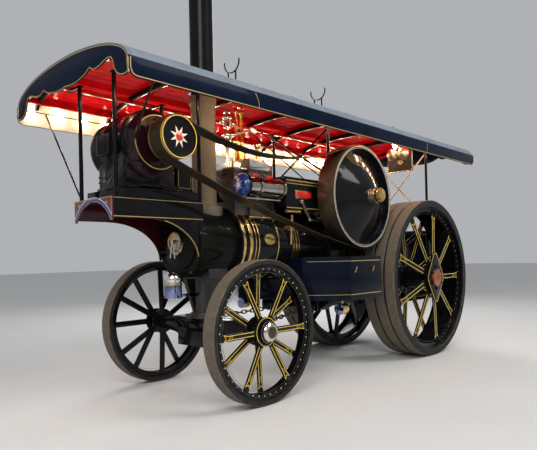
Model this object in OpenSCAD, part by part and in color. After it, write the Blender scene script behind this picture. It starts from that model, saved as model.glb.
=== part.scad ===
// Showman's road locomotive: a steam traction engine with a dynamo, a full canopy and rubber-banded wheels.
// Millimetres, Z up, the front towards -X, the engine's left towards -Y.
// The origin is on the ground, under the middle of the canopy.

/* [Rear wheels] */
// Radius over the rubber bands
rear_r = 1067; // [1040:1:1067]
// Gap between the rear wheel and the flywheel, seen from the side
wheel_gap = 46.4; // [40:0.1:60]
// Centre plane to the outer face of a rear wheel
rear_face = 980; // [975:1:1000]
// Width over the rubber bands
rear_w = 455; // [430:1:458]
// Number of rubber bands
rear_bands = 3; // [2:1:3]
// Radius of the rear axle
rear_axle_r = 75; // [65:1:80]
// Spokes in one set of a rear wheel
rear_spokes = 9; // [8:1:10]

/* [Front wheels] */
// Radius over the rubber tyre
front_r = 690; // [660:1:700]
// Place of the front axle along the engine
front_x = -1597; // [-1610:1:-1590]
// Centre plane to the outer face of a front wheel
front_face = 918; // [900:1:925]
// Width of a front tyre
front_w = 150; // [130:1:160]
// Radius of a front axle end
front_axle_r = 42; // [38:1:46]
// Spokes in one set of a front wheel
front_spokes = 6; // [5:1:7]

/* [Boiler] */
// Height of the boiler's axis
boiler_z = 1553; // [1548:1:1555]
// Radius of the clad boiler barrel
boiler_r = 395; // [385:1:397]
// Radius of the smokebox
smokebox_r = 345; // [335:1:350]
// Front face of the smokebox
smokebox_x = -1915; // [-1925:1:-1905]
// Length of the smokebox
smokebox_len = 515; // [505:1:520]
// Front of the firebox
firebox_x = 60; // [50:1:80]
// Distance of the firebox's back plate in front of the rear axle
firebox_gap = 132; // [120:1:180]
// Half width of the firebox
firebox_half = 440; // [430:1:445]
// Underside of the firebox
firebox_bottom = 700; // [650:1:750]
// Thickness of a hornplate
hornplate_t = 25; // [20:1:28]
// Radius of the chimney
chimney_r = 130; // [110:1:140]
// Place of the chimney along the engine
chimney_x = -1570; // [-1580:1:-1565]
// Height of the chimney's top with its extension
chimney_top = 4400; // [4100:10:4600]

/* [Motion] */
// Place of the crankshaft along the engine
crank_x = 300; // [290:1:305]
// Height of the crankshaft
crank_z = 2110; // [2105:1:2120]
// Radius of the crankshaft
crank_r = 55; // [50:1:60]
// Radius of the flywheel
flywheel_r = 626; // [610:1:630]
// Width of the flywheel's rim
flywheel_w = 230; // [200:1:232]
// Centre plane to the flywheel's outer face
flywheel_face = 780; // [775:1:785]
// Radius of the polished valve cylinder
valve_r = 115; // [100:1:118]

/* [Dynamo] */
// Place of the dynamo's axis along the engine
dynamo_x = -2480; // [-2490:1:-2470]
// Height of the dynamo's axis
dynamo_z = 2444; // [2440:1:2460]
// Radius of the dynamo's yoke
yoke_r = 310; // [300:1:320]
// Radius of the dynamo's pulley
pulley_r = 187; // [180:1:200]
// Width of the pulley
pulley_w = 200; // [180:1:210]
// Radius of the dynamo's shaft
dynamo_shaft_r = 38; // [30:1:45]
// Half width of the platform
platform_half = 320; // [316:1:325]
// Front end of the platform
platform_x = -2865; // [-2880:1:-2860]
// Underside of the platform's sides
platform_bottom = 1775; // [1760:1:1800]
// Top of the platform
platform_top = 1955; // [1950:1:1965]
// Height of the bed box
bed_h = 88; // [80:1:88]

/* [Canopy] */
// Overhang of the canopy in front of the platform
front_over = 250; // [235:1:265]
// Overhang of the canopy behind the tender
rear_over = 265; // [250:1:280]
// Width of the canopy over its side boards
canopy_w = 2000; // [1980:1:2010]
// Underside of the side boards
fascia_bottom = 2765; // [2755:1:2780]
// Top edge of the side boards
fascia_top = 2915; // [2900:1:2925]
// Crown of the roof
roof_top = 3170; // [3150:1:3190]
// Radius of the canopy's posts
post_r = 19; // [16:1:22]

/* [Tank and tender] */
// Top of the belly tank
tank_top = 1385; // [1370:1:1395]
// Underside of the belly tank
tank_bottom = 890; // [860:1:930]
// Half width of the belly tank
tank_half = 950; // [930:1:955]
// Rear end of the tender
tender_x = 2850; // [2800:1:2880]
// Top of the tender's sides
tender_top = 1750; // [1700:1:1800]

/* [Hidden] */
$fn = 64;
// Gap between pieces that seat on each other
seat = 0.3;
// Radial clearance of a running fit
run = 0.05;
// Gap between pieces that move past each other
clear = 6;
eps = 1;

smokebox_end = smokebox_x + smokebox_len;
horn_in = firebox_half + seat;
horn_out = horn_in + hornplate_t;
canopy_front = platform_x - front_over;
canopy_rear = tender_x + rear_over;
rear_x = crank_x + sqrt(pow(flywheel_r + rear_r + wheel_gap, 2) - pow(crank_z - rear_r, 2));
firebox_end = rear_x - firebox_gap;
// Heights that follow the crankshaft
web_r = 205;
firebox_top = crank_z - web_r - 25;
horn_top = crank_z + 175;
motion_bottom = crank_z - 186;
motion_top = crank_z + 160;
block_top = crank_z + 220;
chest_top = crank_z + 180;
canopy_half = canopy_w / 2;
belt_y = flywheel_face - flywheel_w / 2;

// Places a shape whose axis is local Z so that the axis runs towards +Y
module along_y(p) translate(p) rotate([-90, 0, 0]) children();
// Places a shape whose axis is local Z so that the axis runs towards +X
module along_x(p) translate(p) rotate([0, 90, 0]) children();
// Extrudes an outline drawn in X and Z from y0 to y1
module side(y0, y1) translate([0, y1, 0]) rotate([90, 0, 0]) linear_extrude(y1 - y0) children();
// Extrudes an outline drawn in Y and Z from x0 to x1
module cross(x0, x1) translate([x0, 0, 0]) rotate([90, 0, 90]) linear_extrude(x1 - x0) children();
// A box from its lowest to its highest corner
module box(a, b) translate(a) cube(b - a);
// A tube along local Z
module tube(ro, ri, h) difference() {
    cylinder(r = ro, h = h);
    translate([0, 0, -eps]) cylinder(r = ri, h = h + 2 * eps);
}
// The shape and its mirror image on the engine's other side
module both() {
    children();
    mirror([0, 1, 0]) children();
}
// A round bar between two points
module bar(a, b, r) {
    d = b - a;
    l = norm(d);
    translate(a) rotate([0, acos(d[2] / l), atan2(d[1], d[0])]) cylinder(r = r, h = l);
}

// Wheels. Local Z runs inwards from the wheel's outer face.
rear_rim_r = rear_r - 75;
front_rim_r = front_r - 45;
// Places a left-hand wheel's piece
module rear_place() along_y([rear_x, -rear_face, rear_r]) children();
module front_place() along_y([front_x, -front_face, front_r]) children();

module banded_tyre(r, rim_r, w, bands, groove, edge) {
    band_w = (w - (bands - 1) * groove) / bands;
    floor_r = r - 1.6 * groove;
    rotate_extrude($fn = 96) polygon(concat([[rim_r, 0]],
        [for (i = [0:bands - 1]) let (a = i * (band_w + groove), b = a + band_w)
            each [[floor_r, a], [r - edge, a], [r, a + edge], [r, b - edge], [r - edge, b], [floor_r, b]]],
        [[rim_r, w]]));
}
// A flat spoke from radius r0 at depth z0 to radius r1 at depth z1
module spoke(r0, z0, r1, z1, w, t) translate([r0, 0, z0]) rotate([0, -atan2(z1 - z0, r1 - r0), 0])
    translate([0, -w / 2, 0]) cube([norm([r1 - r0, z1 - z0]), w, t]);
// Rim, two inner rings, two sets of flat spokes, a drum and its flanges, bored for the axle
module spoked_wheel(rim_r, rim_t, w, ring_h, ring_z, spokes, spoke_w, drum_r, flange_r, z0, z1, bore_r,
    $fn = 96) {
    spoke_t = 16;
    ring_t = 14;
    root_r = drum_r - 20;
    tip_r = rim_r - rim_t - 10;
    difference() {
        union() {
            tube(rim_r, rim_r - rim_t, w);
            for (z = [ring_z, w - ring_z - ring_t]) translate([0, 0, z])
                tube(rim_r - rim_t + eps, rim_r - rim_t - ring_h, ring_t);
            translate([0, 0, z0]) cylinder(r = drum_r, h = z1 - z0);
            for (z = [z0 + 20, z1 - 40]) translate([0, 0, z]) cylinder(r = flange_r, h = 20);
            for (i = [0:spokes - 1]) {
                rotate(i * 360 / spokes)
                    spoke(root_r, z0 + 30, tip_r, ring_z - spoke_t / 2, spoke_w, spoke_t);
                rotate((i + 0.5) * 360 / spokes)
                    spoke(root_r, z1 - 46, tip_r, w - ring_z - spoke_t / 2, spoke_w, spoke_t);
            }
        }
        translate([0, 0, z0 - eps]) cylinder(r = bore_r, h = z1 - z0 + 2 * eps);
    }
}

// Rear wheels
rear_drum_out = -18;
rear_drum_r = 150;
module rear_tyre() color("dimgray") banded_tyre(rear_r, rear_rim_r, rear_w, rear_bands, 16, 9);
module rear_wheel() color([0.05, 0.05, 0.06])
    spoked_wheel(rear_rim_r - seat, 22, rear_w, 62, 70, rear_spokes, 84, rear_drum_r, 235, rear_drum_out,
        rear_w, rear_axle_r + run);
// The lozenge-shaped driving plate with its round cap
module rear_hub() color("firebrick") {
    plate_h = 345;
    plate_w = 235;
    tip_r = 34;
    translate([0, 0, rear_drum_out - seat - 14]) difference() {
        union() {
            cylinder(r = rear_drum_r + 30, h = 14);
            linear_extrude(14) polygon([[-plate_w, -tip_r], [-tip_r, -plate_h], [tip_r, -plate_h],
                [plate_w, -tip_r], [plate_w, tip_r], [tip_r, plate_h], [-tip_r, plate_h],
                [-plate_w, tip_r]]);
        }
        translate([0, 0, -eps]) cylinder(r = rear_axle_r + clear, h = 14 + 2 * eps);
    }
    translate([0, 0, rear_drum_out - seat - 42]) difference() {
        cylinder(r = 118, h = 28 + eps);
        translate([0, 0, 10]) cylinder(r = rear_axle_r + clear, h = 28);
    }
}
module rear_tyre_left() rear_place() rear_tyre();
module rear_wheel_left() rear_place() rear_wheel();
module rear_hub_left() rear_place() rear_hub();
module rear_tyre_right() mirror([0, 1, 0]) rear_tyre_left();
module rear_wheel_right() mirror([0, 1, 0]) rear_wheel_left();
module rear_hub_right() mirror([0, 1, 0]) rear_hub_left();

// Front wheels
front_drum_out = 6;
front_drum_in = 190;
front_drum_r = 78;
module front_tyre() color("dimgray") banded_tyre(front_r, front_rim_r, front_w, 1, 12, 8);
module front_wheel() color([0.05, 0.05, 0.06])
    spoked_wheel(front_rim_r - seat, 18, front_w, 42, 26, front_spokes, 62, front_drum_r, 140,
        front_drum_out, front_drum_in, front_axle_r + run);
// The polished cap over the axle's end
module front_hub() color("gold") translate([0, 0, front_drum_out - seat]) {
    translate([0, 0, -10]) cylinder(r = 104, h = 10);
    translate([0, 0, -32]) cylinder(r = 84, h = 30);
}
module front_tyre_left() front_place() front_tyre();
module front_wheel_left() front_place() front_wheel();
module front_hub_left() front_place() front_hub();
module front_tyre_right() mirror([0, 1, 0]) front_tyre_left();
module front_wheel_right() mirror([0, 1, 0]) front_wheel_left();
module front_hub_right() mirror([0, 1, 0]) front_hub_left();

// Front axle, turning on its centre pin
pivot_r = 55;
beam_half_h = 85;
beam_top = front_r + beam_half_h;
beam_d = 150;
// Eye that the steering chain hooks into
chain_eye = [front_x + beam_d / 2 + 42, 500, front_r];
module front_axle() color([0.08, 0.08, 0.09]) {
    inner = front_face - front_drum_in - clear;
    plate_x = front_x - beam_d / 2 - 60;
    difference() {
        union() {
            side(-430, 430) polygon([[front_x - beam_d / 2, front_r - beam_half_h],
                [front_x + beam_d / 2, front_r - beam_half_h], [front_x + beam_d / 2, beam_top],
                [front_x - beam_d / 2, beam_top]]);
            both() cross(front_x - beam_d / 2, front_x + beam_d / 2) polygon([[429, front_r - beam_half_h],
                [inner, front_r - 58], [inner, front_r + 58], [429, beam_top]]);
            both() along_y([front_x, -front_face + front_drum_out + 12, front_r])
                cylinder(r = front_axle_r, h = front_face - front_drum_out - 12 - inner + 20);
        }
        both() for (y = [200, 330]) along_x([front_x - beam_d, y, front_r])
            cylinder(r = 16, h = beam_d / 2 + 12);
    }
    // centre pin
    translate([front_x, 0, beam_top - eps]) cylinder(r = pivot_r, h = 190);
    // bare number board and its two hangers
    box([plate_x - 8, -290, front_r - 205], [plate_x, 290, front_r - 50]);
    both() box([plate_x - eps, 150, front_r - 130], [front_x - beam_d / 2 + eps, 190, front_r - 70]);
    // eyes for the steering chains
    both() difference() {
        translate([front_x + beam_d / 2 - eps, chain_eye[1] - 30, front_r - 8]) cube([70, 60, 16]);
        translate(chain_eye - [0, 0, 21]) cylinder(r = 17, h = 42);
    }
}
// Bracket under the smokebox with the socket of the front axle's centre pin
module perch_bracket() color([0.1, 0.09, 0.08]) {
    foot_top = boiler_z - smokebox_r;
    socket_bottom = beam_top + seat;
    difference() {
        union() {
            translate([front_x, 0, socket_bottom]) cylinder(r = 150, h = 60);
            translate([front_x, 0, socket_bottom]) cylinder(r = 100, h = foot_top - socket_bottom + 60);
            for (s = [-1, 1]) hull() {
                translate([front_x - 130, s * 210 - 15, foot_top + 30]) cube([260, 30, 80]);
                translate([front_x - 90, s * 80 - 15, socket_bottom + 60]) cube([180, 30, 10]);
            }
            box([front_x - 130, -225, foot_top - 20], [front_x + 130, 225, foot_top + 50]);
            // front tow lug
            box([front_x - 230, -40, socket_bottom + 8], [front_x - 60, 40, socket_bottom + 58]);
        }
        along_x([front_x - 300, 0, boiler_z]) cylinder(r = smokebox_r + seat, h = 600);
        translate([front_x, 0, socket_bottom - eps]) cylinder(r = pivot_r + run, h = 191 + eps);
        translate([front_x - 200, 0, socket_bottom]) cylinder(r = 20, h = 70);
    }
}
// Steering barrel under the tank, worm wheel, jointed shaft and the hand wheel over the footplate
barrel_x = -100;
barrel_z = 790;
barrel_half = 330;
chain_y = 260;
worm_y = 495;
worm_r = 85;
shaft_low = [barrel_x, worm_y, barrel_z + worm_r + 22];
shaft_knee = [1600, worm_y, 1860];
shaft_high = [2000, 260, 2020];
hand_wheel_r = 215;
module steering_gear() color([0.12, 0.12, 0.13]) {
    along_y([barrel_x, -barrel_half, barrel_z]) cylinder(r = 45, h = barrel_half + worm_y + 30);
    for (y = [-barrel_half, -200, 180, barrel_half - 20]) along_y([barrel_x, y, barrel_z])
        cylinder(r = 68, h = 20);
    along_y([barrel_x, worm_y - 25, barrel_z]) cylinder(r = worm_r, h = 50);
    // chain wound on the barrel
    for (y = [-310:22:-200], m = [1, -1]) along_y([barrel_x, m * y, barrel_z])
        rotate_extrude($fn = 24) translate([52, 0]) circle(r = 9, $fn = 13);
    both() box([barrel_x - 30, barrel_half + 4, barrel_z - 60], [barrel_x + 30, barrel_half + 24,
        tank_bottom - seat]);
    // worm and shaft
    bar(shaft_low - [60, 0, 34], shaft_low + [60, 0, 34], 26);
    bar(shaft_low, shaft_knee, 13);
    translate(shaft_knee) sphere(r = 26, $fn = 32);
    bar(shaft_knee, shaft_high, 13);
    // shaft bracket on the hornplate
    box([1180, horn_out + seat, 1600], [1220, worm_y + 8, 1640]);
    // hand wheel
    d = shaft_high - shaft_knee;
    translate(shaft_high) rotate([0, acos(d[2] / norm(d)), atan2(d[1], d[0])]) {
        rotate_extrude($fn = 48) translate([hand_wheel_r, 0]) circle(r = 11, $fn = 16);
        for (a = [0:72:359]) rotate(a) translate([0, -7, -4]) cube([hand_wheel_r, 14, 8]);
        translate([0, 0, -25]) cylinder(r = 28, h = 50);
    }
}
// Chains from the barrel to the front axle, as oval links set crosswise
link_len = 90;
link_w = 52;
link_d = 13;
module link($fn = 8) translate([0, 0, -link_d / 2]) linear_extrude(link_d) difference() {
    union() {
        square([link_len - link_w, link_w], center = true);
        for (s = [-1, 1]) translate([s * (link_len - link_w) / 2, 0]) circle(d = link_w);
    }
    union() {
        square([link_len - link_w, link_w - 2 * link_d], center = true);
        for (s = [-1, 1]) translate([s * (link_len - link_w) / 2, 0]) circle(d = link_w - 2 * link_d);
    }
}
module steering_chains() color([0.25, 0.24, 0.23]) {
    pitch = link_len - 2 * link_d + seat;
    stop = [barrel_x - 45 - 56, chain_y, barrel_z - 30];
    way = (stop - chain_eye) / norm(stop - chain_eye);
    // the first link is pulled against the edge of its eye
    start = chain_eye + way * ((link_len - link_d) / 2 + 5);
    d = stop - start;
    count = floor(norm(d) / pitch);
    both() translate(start) rotate([0, -atan2(d[2], norm([d[0], d[1]])), atan2(d[1], d[0])])
        for (i = [0:count]) translate([i * pitch, 0, 0]) rotate([i % 2 == 0 ? 90 : 0, 0, 0]) link();
}

// Rear axle
module rear_axle() color("dimgray")
    along_y([rear_x, -rear_face - 10, rear_r]) cylinder(r = rear_axle_r, h = 2 * (rear_face + 10));

// Smokebox, its hinged door, boiler and bands
door_r = 262;
door_t = 18;
door_bulge = 42;
hinge_rows = [-110, 110];
door_hinge = [smokebox_x - 32, door_r + 22];
module smokebox() color([0.07, 0.07, 0.07]) {
    difference() {
        along_x([smokebox_x, 0, boiler_z]) cylinder(r = smokebox_r, h = smokebox_len);
        along_x([smokebox_x - eps, 0, boiler_z]) cylinder(r = door_r - 22, h = 260);
        translate([chimney_x, 0, boiler_z]) cylinder(r = chimney_r - 20, h = smokebox_r + 20);
    }
    // hinge lugs for the door
    for (z = hinge_rows) difference() {
        union() {
            translate([door_hinge[0], door_hinge[1], boiler_z + z - 20]) cylinder(r = 16, h = 40);
            box([door_hinge[0], door_hinge[1] - 10, boiler_z + z - 20], [smokebox_x + eps,
                door_hinge[1] + 10, boiler_z + z + 20]);
        }
        translate([door_hinge[0], door_hinge[1], boiler_z + z - 21]) cylinder(r = 8, h = 42);
    }
}
module smokebox_door() color([0.05, 0.05, 0.05]) {
    face = smokebox_x - seat;
    chord = door_r - 20;
    dish_r = (chord * chord + door_bulge * door_bulge) / (2 * door_bulge);
    dish_x = face - door_t - door_bulge + dish_r;
    difference() {
        union() {
            along_x([face - door_t, 0, boiler_z]) cylinder(r = door_r, h = door_t);
            intersection() {
                translate([dish_x, 0, boiler_z]) sphere(r = dish_r, $fn = 96);
                along_x([face - 100, 0, boiler_z]) cylinder(r = door_r, h = 100 - door_t + eps);
            }
        }
        intersection() {
            translate([dish_x, 0, boiler_z]) sphere(r = dish_r - 14, $fn = 96);
            along_x([face - 100, 0, boiler_z]) cylinder(r = door_r - 34, h = 102);
        }
    }
    // straps and hinge pins
    for (z = hinge_rows) {
        box([door_hinge[0] - 8, door_r - 120, boiler_z + z + 21],
            [face - 10, door_hinge[1], boiler_z + z + 45]);
        translate([door_hinge[0], door_hinge[1], boiler_z + z + 21]) cylinder(r = 14, h = 24);
        translate([door_hinge[0], door_hinge[1], boiler_z + z - 24])
            cylinder(r = 8 - run, h = 24 + 21 + eps);
    }
    // raised ring and the two handles on the dart
    dart_z = boiler_z + 20;
    along_x([face - 72, 0, dart_z]) tube(106, 84, 24);
    along_x([face - 100, 0, dart_z]) cylinder(r = 22, h = 60);
    bar([face - 86, 0, dart_z], [face - 86, -30, dart_z - 170], 9);
    bar([face - 98, 0, dart_z], [face - 98, 30, dart_z - 160], 9);
}
module boiler() color([0.06, 0.06, 0.07]) along_x([smokebox_end + seat, 0, boiler_z])
    cylinder(r = boiler_r, h = firebox_x - smokebox_end - 2 * seat);
// Bands round the barrel: place along the engine, width
band_col_x = 0;
band_col_w = 1;
band_rows = [[-1384, 34], [-1292, 46], [-1208, 12], [-1160, 16], [-851, 18], [-592, 18], [-548, 26],
    [-498, 18]];
module boiler_bands() color("gold") for (b = band_rows)
    along_x([b[band_col_x], 0, boiler_z]) tube(boiler_r + 5, boiler_r + seat, b[band_col_w]);

fire_z = 1400;
// Firebox with its rounded top, and the hornplates on its sides
module firebox() color([0.06, 0.06, 0.07]) {
    crown_r = 600;
    difference() {
        intersection() {
            box([firebox_x, -firebox_half, firebox_bottom], [firebox_end, firebox_half, firebox_top]);
            along_x([firebox_x - eps, 0, firebox_top - crown_r])
                cylinder(r = crown_r, h = firebox_end - firebox_x + 2 * eps);
        }
        // mouth for the fire door
        along_x([firebox_end - 120, 0, fire_z]) cylinder(r = 160, h = 130);
        // ash pan mouth
        box([firebox_x + 200, -300, firebox_bottom - eps], [firebox_end - 100, 300, firebox_bottom + 90]);
    }
    // hinge lugs of the fire door
    for (z = [-60, 60]) difference() {
        union() {
            translate([firebox_end + 24, 215, fire_z + z - 12]) cylinder(r = 13, h = 24);
            box([firebox_end - eps, 206, fire_z + z - 12], [firebox_end + 24, 224, fire_z + z + 12]);
        }
        translate([firebox_end + 24, 215, fire_z + z - 13]) cylinder(r = 6, h = 26);
    }
}
module fire_door() color([0.1, 0.1, 0.1]) {
    along_x([firebox_end + seat, 0, fire_z]) cylinder(r = 185, h = 22);
    box([firebox_end + 14, 150, fire_z - 72 - 26], [firebox_end + 30, 215, fire_z - 72 - 2]);
    box([firebox_end + 14, 150, fire_z + 72 + 2], [firebox_end + 30, 215, fire_z + 72 + 26]);
    for (z = [-98, 74]) translate([firebox_end + 24, 215, fire_z + z]) cylinder(r = 12, h = 24);
    translate([firebox_end + 24, 215, fire_z - 98]) cylinder(r = 6 - run, h = 196);
    along_x([firebox_end + 22, -130, fire_z]) cylinder(r = 8, h = 45);
}
module hornplates() color([0.07, 0.07, 0.08]) both() difference() {
    union() {
        side(horn_in, horn_out) polygon([[-60, 1905], [-60, horn_top], [crank_x + 330, horn_top],
            [crank_x + 480, crank_z + 40], [rear_x + 150, 1700], [rear_x + 150, 850], [rear_x - 250, 850],
            [rear_x - 330, 760], [crank_x + 260, 760], [crank_x + 100, 900], [crank_x + 100, 1500],
            [firebox_x, 1560], [firebox_x, 1905]]);
        along_y([crank_x, horn_out - eps, crank_z]) cylinder(r = 115, h = 56);
        along_y([rear_x, horn_out - eps, rear_r])
            cylinder(r = 150, h = rear_face - rear_w - clear - horn_out);
    }
    along_y([crank_x, horn_in - 10, crank_z]) cylinder(r = crank_r + run, h = 120);
    along_y([rear_x, horn_in - 10, rear_r]) cylinder(r = rear_axle_r + seat, h = 120);
}

// Chimney on its flared saddle
module chimney() color([0.3, 0.26, 0.2]) {
    saddle_z = boiler_z + smokebox_r;
    joint_z = saddle_z + 1200;
    spigot_h = 120;
    rim_z = chimney_top - spigot_h - 50;
    difference() {
        union() {
            translate([chimney_x, 0, saddle_z + 120]) cylinder(r = chimney_r, h = joint_z - saddle_z - 120);
            translate([chimney_x, 0, joint_z - eps]) cylinder(r = chimney_r - 4, h = rim_z - joint_z + eps);
            translate([chimney_x, 0, rim_z]) cylinder(r = chimney_r + 10, h = 50);
            translate([chimney_x, 0, joint_z - 60]) cylinder(r = chimney_r + 14, h = 60);
            // spigot for a further length
            translate([chimney_x, 0, rim_z + 50 - eps]) cylinder(r = chimney_r - 12, h = spigot_h + eps);
            // flare as a turned curve
            translate([chimney_x, 0, saddle_z]) rotate_extrude() difference() {
                translate([0, -140]) square([chimney_r + 60, 280]);
                translate([chimney_r + 60, 110]) circle(r = 60);
                translate([chimney_r, 110]) square([70, 40]);
            }
        }
        along_x([chimney_x - 300, 0, boiler_z]) cylinder(r = smokebox_r + seat, h = 600);
        along_x([smokebox_end, 0, boiler_z]) cylinder(r = boiler_r + 5 + seat, h = 200);
        translate([chimney_x, 0, saddle_z - 200]) cylinder(r = chimney_r - 20, h = 3400);
    }
}

// Cylinder block, saddled on the barrel
block_x0 = -1372;
valve_x0 = -1410;
block_x1 = -800;
block_half = 300;
// Length and half width of the lower part in front, and height of the polished covers
chest_len = 180;
chest_half = 260;
cover_h = 150;
module cylinder_block() color([0.35, 0.31, 0.26]) difference() {
    union() {
        box([block_x0 + chest_len, -block_half, boiler_z + 207], [block_x1, block_half, block_top]);
        box([block_x0, -chest_half, boiler_z + 247], [block_x0 + chest_len + eps, chest_half, chest_top]);
        for (y = [-135, 135]) along_x([block_x0 - 14, y, crank_z + 20]) cylinder(r = 120, h = 30);
    }
    along_x([-2000, 0, boiler_z]) cylinder(r = boiler_r + 5 + seat, h = 1500);
}
module cylinder_cover() color("silver") {
    box([block_x0 + chest_len + 10, -block_half, block_top + seat],
        [block_x1 - 20, block_half, block_top + cover_h]);
    box([block_x0 + 20, 40 - chest_half, chest_top + seat],
        [block_x0 + chest_len - eps, chest_half - 40, chest_top + 90]);
}
module valve_cylinder() color([0.2, 0.3, 0.55]) both() {
    valve_y = block_half + seat + valve_r;
    valve_z = crank_z + 40;
    along_x([valve_x0, valve_y, valve_z]) cylinder(r = valve_r, h = 20);
    along_x([valve_x0 + 19, valve_y, valve_z]) cylinder(r = valve_r - 18, h = block_x1 - valve_x0 - 53);
    for (x = [valve_x0 + 190, block_x1 - 60]) along_x([x, valve_y, valve_z]) cylinder(r = valve_r, h = 30);
}
// Safety valves on the cover: two columns on a domed foot under one cross lever, and two low ones behind
module safety_valves() color("goldenrod") translate([0, 0, block_top + cover_h + seat]) {
    foot = [-1041, 0, 130];
    translate([foot[0], 0, 0]) cylinder(r = 88, h = 24);
    translate([foot[0], 0, 23]) cylinder(r = 74, h = foot[2] - 23);
    translate([foot[0], 0, foot[2]]) intersection() {
        sphere(r = 74);
        translate([0, 0, -eps]) cylinder(r = 74, h = 75);
    }
    for (x = [-43, 43]) translate([foot[0] + x, 0, foot[2]]) {
        cylinder(r = 19, h = 500);
        translate([0, 0, 80]) cylinder(r = 27, h = 40);
        translate([0, 0, 440]) cylinder(r = 25, h = 30);
    }
    box([foot[0] - 80, -13, foot[2] + 499], [foot[0] + 80, 13, foot[2] + 521]);
    for (y = [-130, 130]) translate([-880, y, 0]) {
        cylinder(r = 44, h = 20);
        cylinder(r = 26, h = 190);
        translate([0, 0, 200]) sphere(r = 46);
    }
}
// Governor in front of the valves: a steel column with flanges, balls, and a pulley with its two cords
module governor() color("silver") {
    stand = [-1222, 0, chest_top + 90 + seat];
    head_z = crank_z + 649;
    cord_r = 7;
    pulley_y = -412;
    translate(stand) {
        cylinder(r = 28, h = 16);
        cylinder(r = 22, h = head_z - stand[2] + 270);
    }
    // flanges: height over the head, radius
    for (f = [[-70, 50], [0, 62], [90, 44], [200, 58], [262, 40]])
        translate([stand[0], stand[1], head_z + f[0]]) cylinder(r = f[1], h = 22);
    for (m = [-1, 1]) {
        translate([stand[0] + m * 78, stand[1], head_z + 150]) sphere(r = 32, $fn = 32);
        bar([stand[0], stand[1], head_z + 210], [stand[0] + m * 78, stand[1], head_z + 150], 8);
    }
    along_y([stand[0], pulley_y, head_z]) cylinder(r = 11, h = stand[1] - pulley_y);
    along_y([stand[0], pulley_y, head_z]) cylinder(r = 44, h = 24);
    // cords down to the motion case and the crank cover
    bar([stand[0] + 14, pulley_y + 12, head_z + 38], [90, pulley_y + 12, crank_z + 203], cord_r);
    bar([stand[0] - 19, pulley_y + 12, head_z - 36], [-380, pulley_y + 12, motion_top + 37], cord_r);
}

// Motion side plates with their top cover and tray, one closed case
motion_x0 = block_x1 + seat;
motion_x1 = -60 - seat;
motion_half = 480;
tray_z = boiler_z + boiler_r + 9;
module motion_case() color([0.09, 0.09, 0.09]) {
    both() box([motion_x0, motion_half - 20, motion_bottom], [motion_x1, motion_half, motion_top]);
    difference() {
        box([motion_x0, -motion_half + 19, tray_z], [motion_x1, motion_half - 19, motion_top + 30]);
        box([motion_x0 + 16, -motion_half + 40, tray_z + 16],
            [motion_x1 + eps, motion_half - 40, motion_top + 14]);
    }
}
// Arched cover over the cranks between the hornplates
cover_r = 262;
module crank_cover() color([0.09, 0.09, 0.1]) {
    sheet = 6;
    half = horn_in - seat;
    difference() {
        union() {
            along_y([crank_x, -half, crank_z]) cylinder(r = cover_r, h = 2 * half);
            box([crank_x - cover_r, -half, 1930], [crank_x + cover_r, half, crank_z]);
        }
        along_y([crank_x, -half - eps, crank_z]) cylinder(r = cover_r - sheet, h = 2 * half + 2 * eps);
        box([crank_x - cover_r + sheet, -half - eps, 1929],
            [crank_x + cover_r - sheet, half + eps, crank_z]);
        box([-70, -motion_half, 1929], [crank_x - 180, motion_half, motion_top + 14]);
        box([crank_x - cover_r, -half - eps, crank_z - cover_r - eps],
            [crank_x + cover_r, half + eps, 1930]);
    }
}
crank_throw = 125;
module crankshaft() color("silver") {
    along_y([crank_x, -flywheel_face - 60, crank_z])
        cylinder(r = crank_r, h = flywheel_face + 60 - 230 + eps);
    along_y([crank_x, 230 - eps, crank_z]) cylinder(r = crank_r, h = 370);
    along_y([crank_x, -50 - eps, crank_z]) cylinder(r = crank_r, h = 100 + 2 * eps);
    // round webs and crank pins, a quarter turn apart
    for (c = [[-230, 0], [50, 90]]) {
        for (y = [c[0], c[0] + 140]) along_y([crank_x, y, crank_z]) cylinder(r = web_r, h = 40);
        rotate_at = [crank_throw * cos(c[1]), crank_throw * sin(c[1])];
        along_y([crank_x + rotate_at[0], c[0] + 39, crank_z + rotate_at[1]]) cylinder(r = 45, h = 102);
    }
}
// Domed disc of the flywheel: radius, depth behind the rim's outer face
dome_out = 118;
neck_out = 190;
dome_rows = [[0, -dome_out], [110, -dome_out], [160, -104], [240, -74], [340, -28], [440, 22], [545, 70]];
module flywheel() color([0.05, 0.05, 0.05]) along_y([crank_x, -flywheel_face, crank_z]) {
    rim_t = 42;
    disc_t = 24;
    line = concat(dome_rows, [[flywheel_r - rim_t + 2, 70]]);
    difference() {
        union() {
            tube(flywheel_r, flywheel_r - rim_t, flywheel_w);
            rotate_extrude($fn = 96)
                polygon(concat(line, [for (i = [len(line) - 1:-1:0]) line[i] + [0, disc_t]]));
            translate([0, 0, -dome_out + eps]) cylinder(r = 110, h = flywheel_w + dome_out - eps);
            translate([0, 0, -neck_out]) cylinder(r = 94, h = neck_out);
        }
        translate([0, 0, -60 - seat]) cylinder(r = crank_r + seat, h = flywheel_w + 70);
    }
}
// Brass cap with its ringed end
module flywheel_hub() color("gold") along_y([crank_x, -flywheel_face - neck_out - seat, crank_z])
    mirror([0, 0, 1]) {
        cylinder(r = 86, h = 46);
        cylinder(r = 62, h = 60);
        translate([0, 0, 45]) cylinder(r = 76, h = 23);
    }

// Drive belt, one closed loop with sagging runs
belt_t = 9;
belt_w = 150;
belt_step = 8;
belt_gap = 0.5;
wheel_seat = (flywheel_r + belt_gap) / cos(belt_step / 2);
pulley_seat = (pulley_r + belt_gap) / cos(belt_step / 2);
top_sag = 225;
low_sag = 60;
function on_wheel(a, t = 0) = [crank_x, crank_z] + (wheel_seat + t) * [cos(a), sin(a)];
function on_pulley(a, t = 0) = [dynamo_x, dynamo_z] + (pulley_seat + t) * [cos(a), sin(a)];
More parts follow.
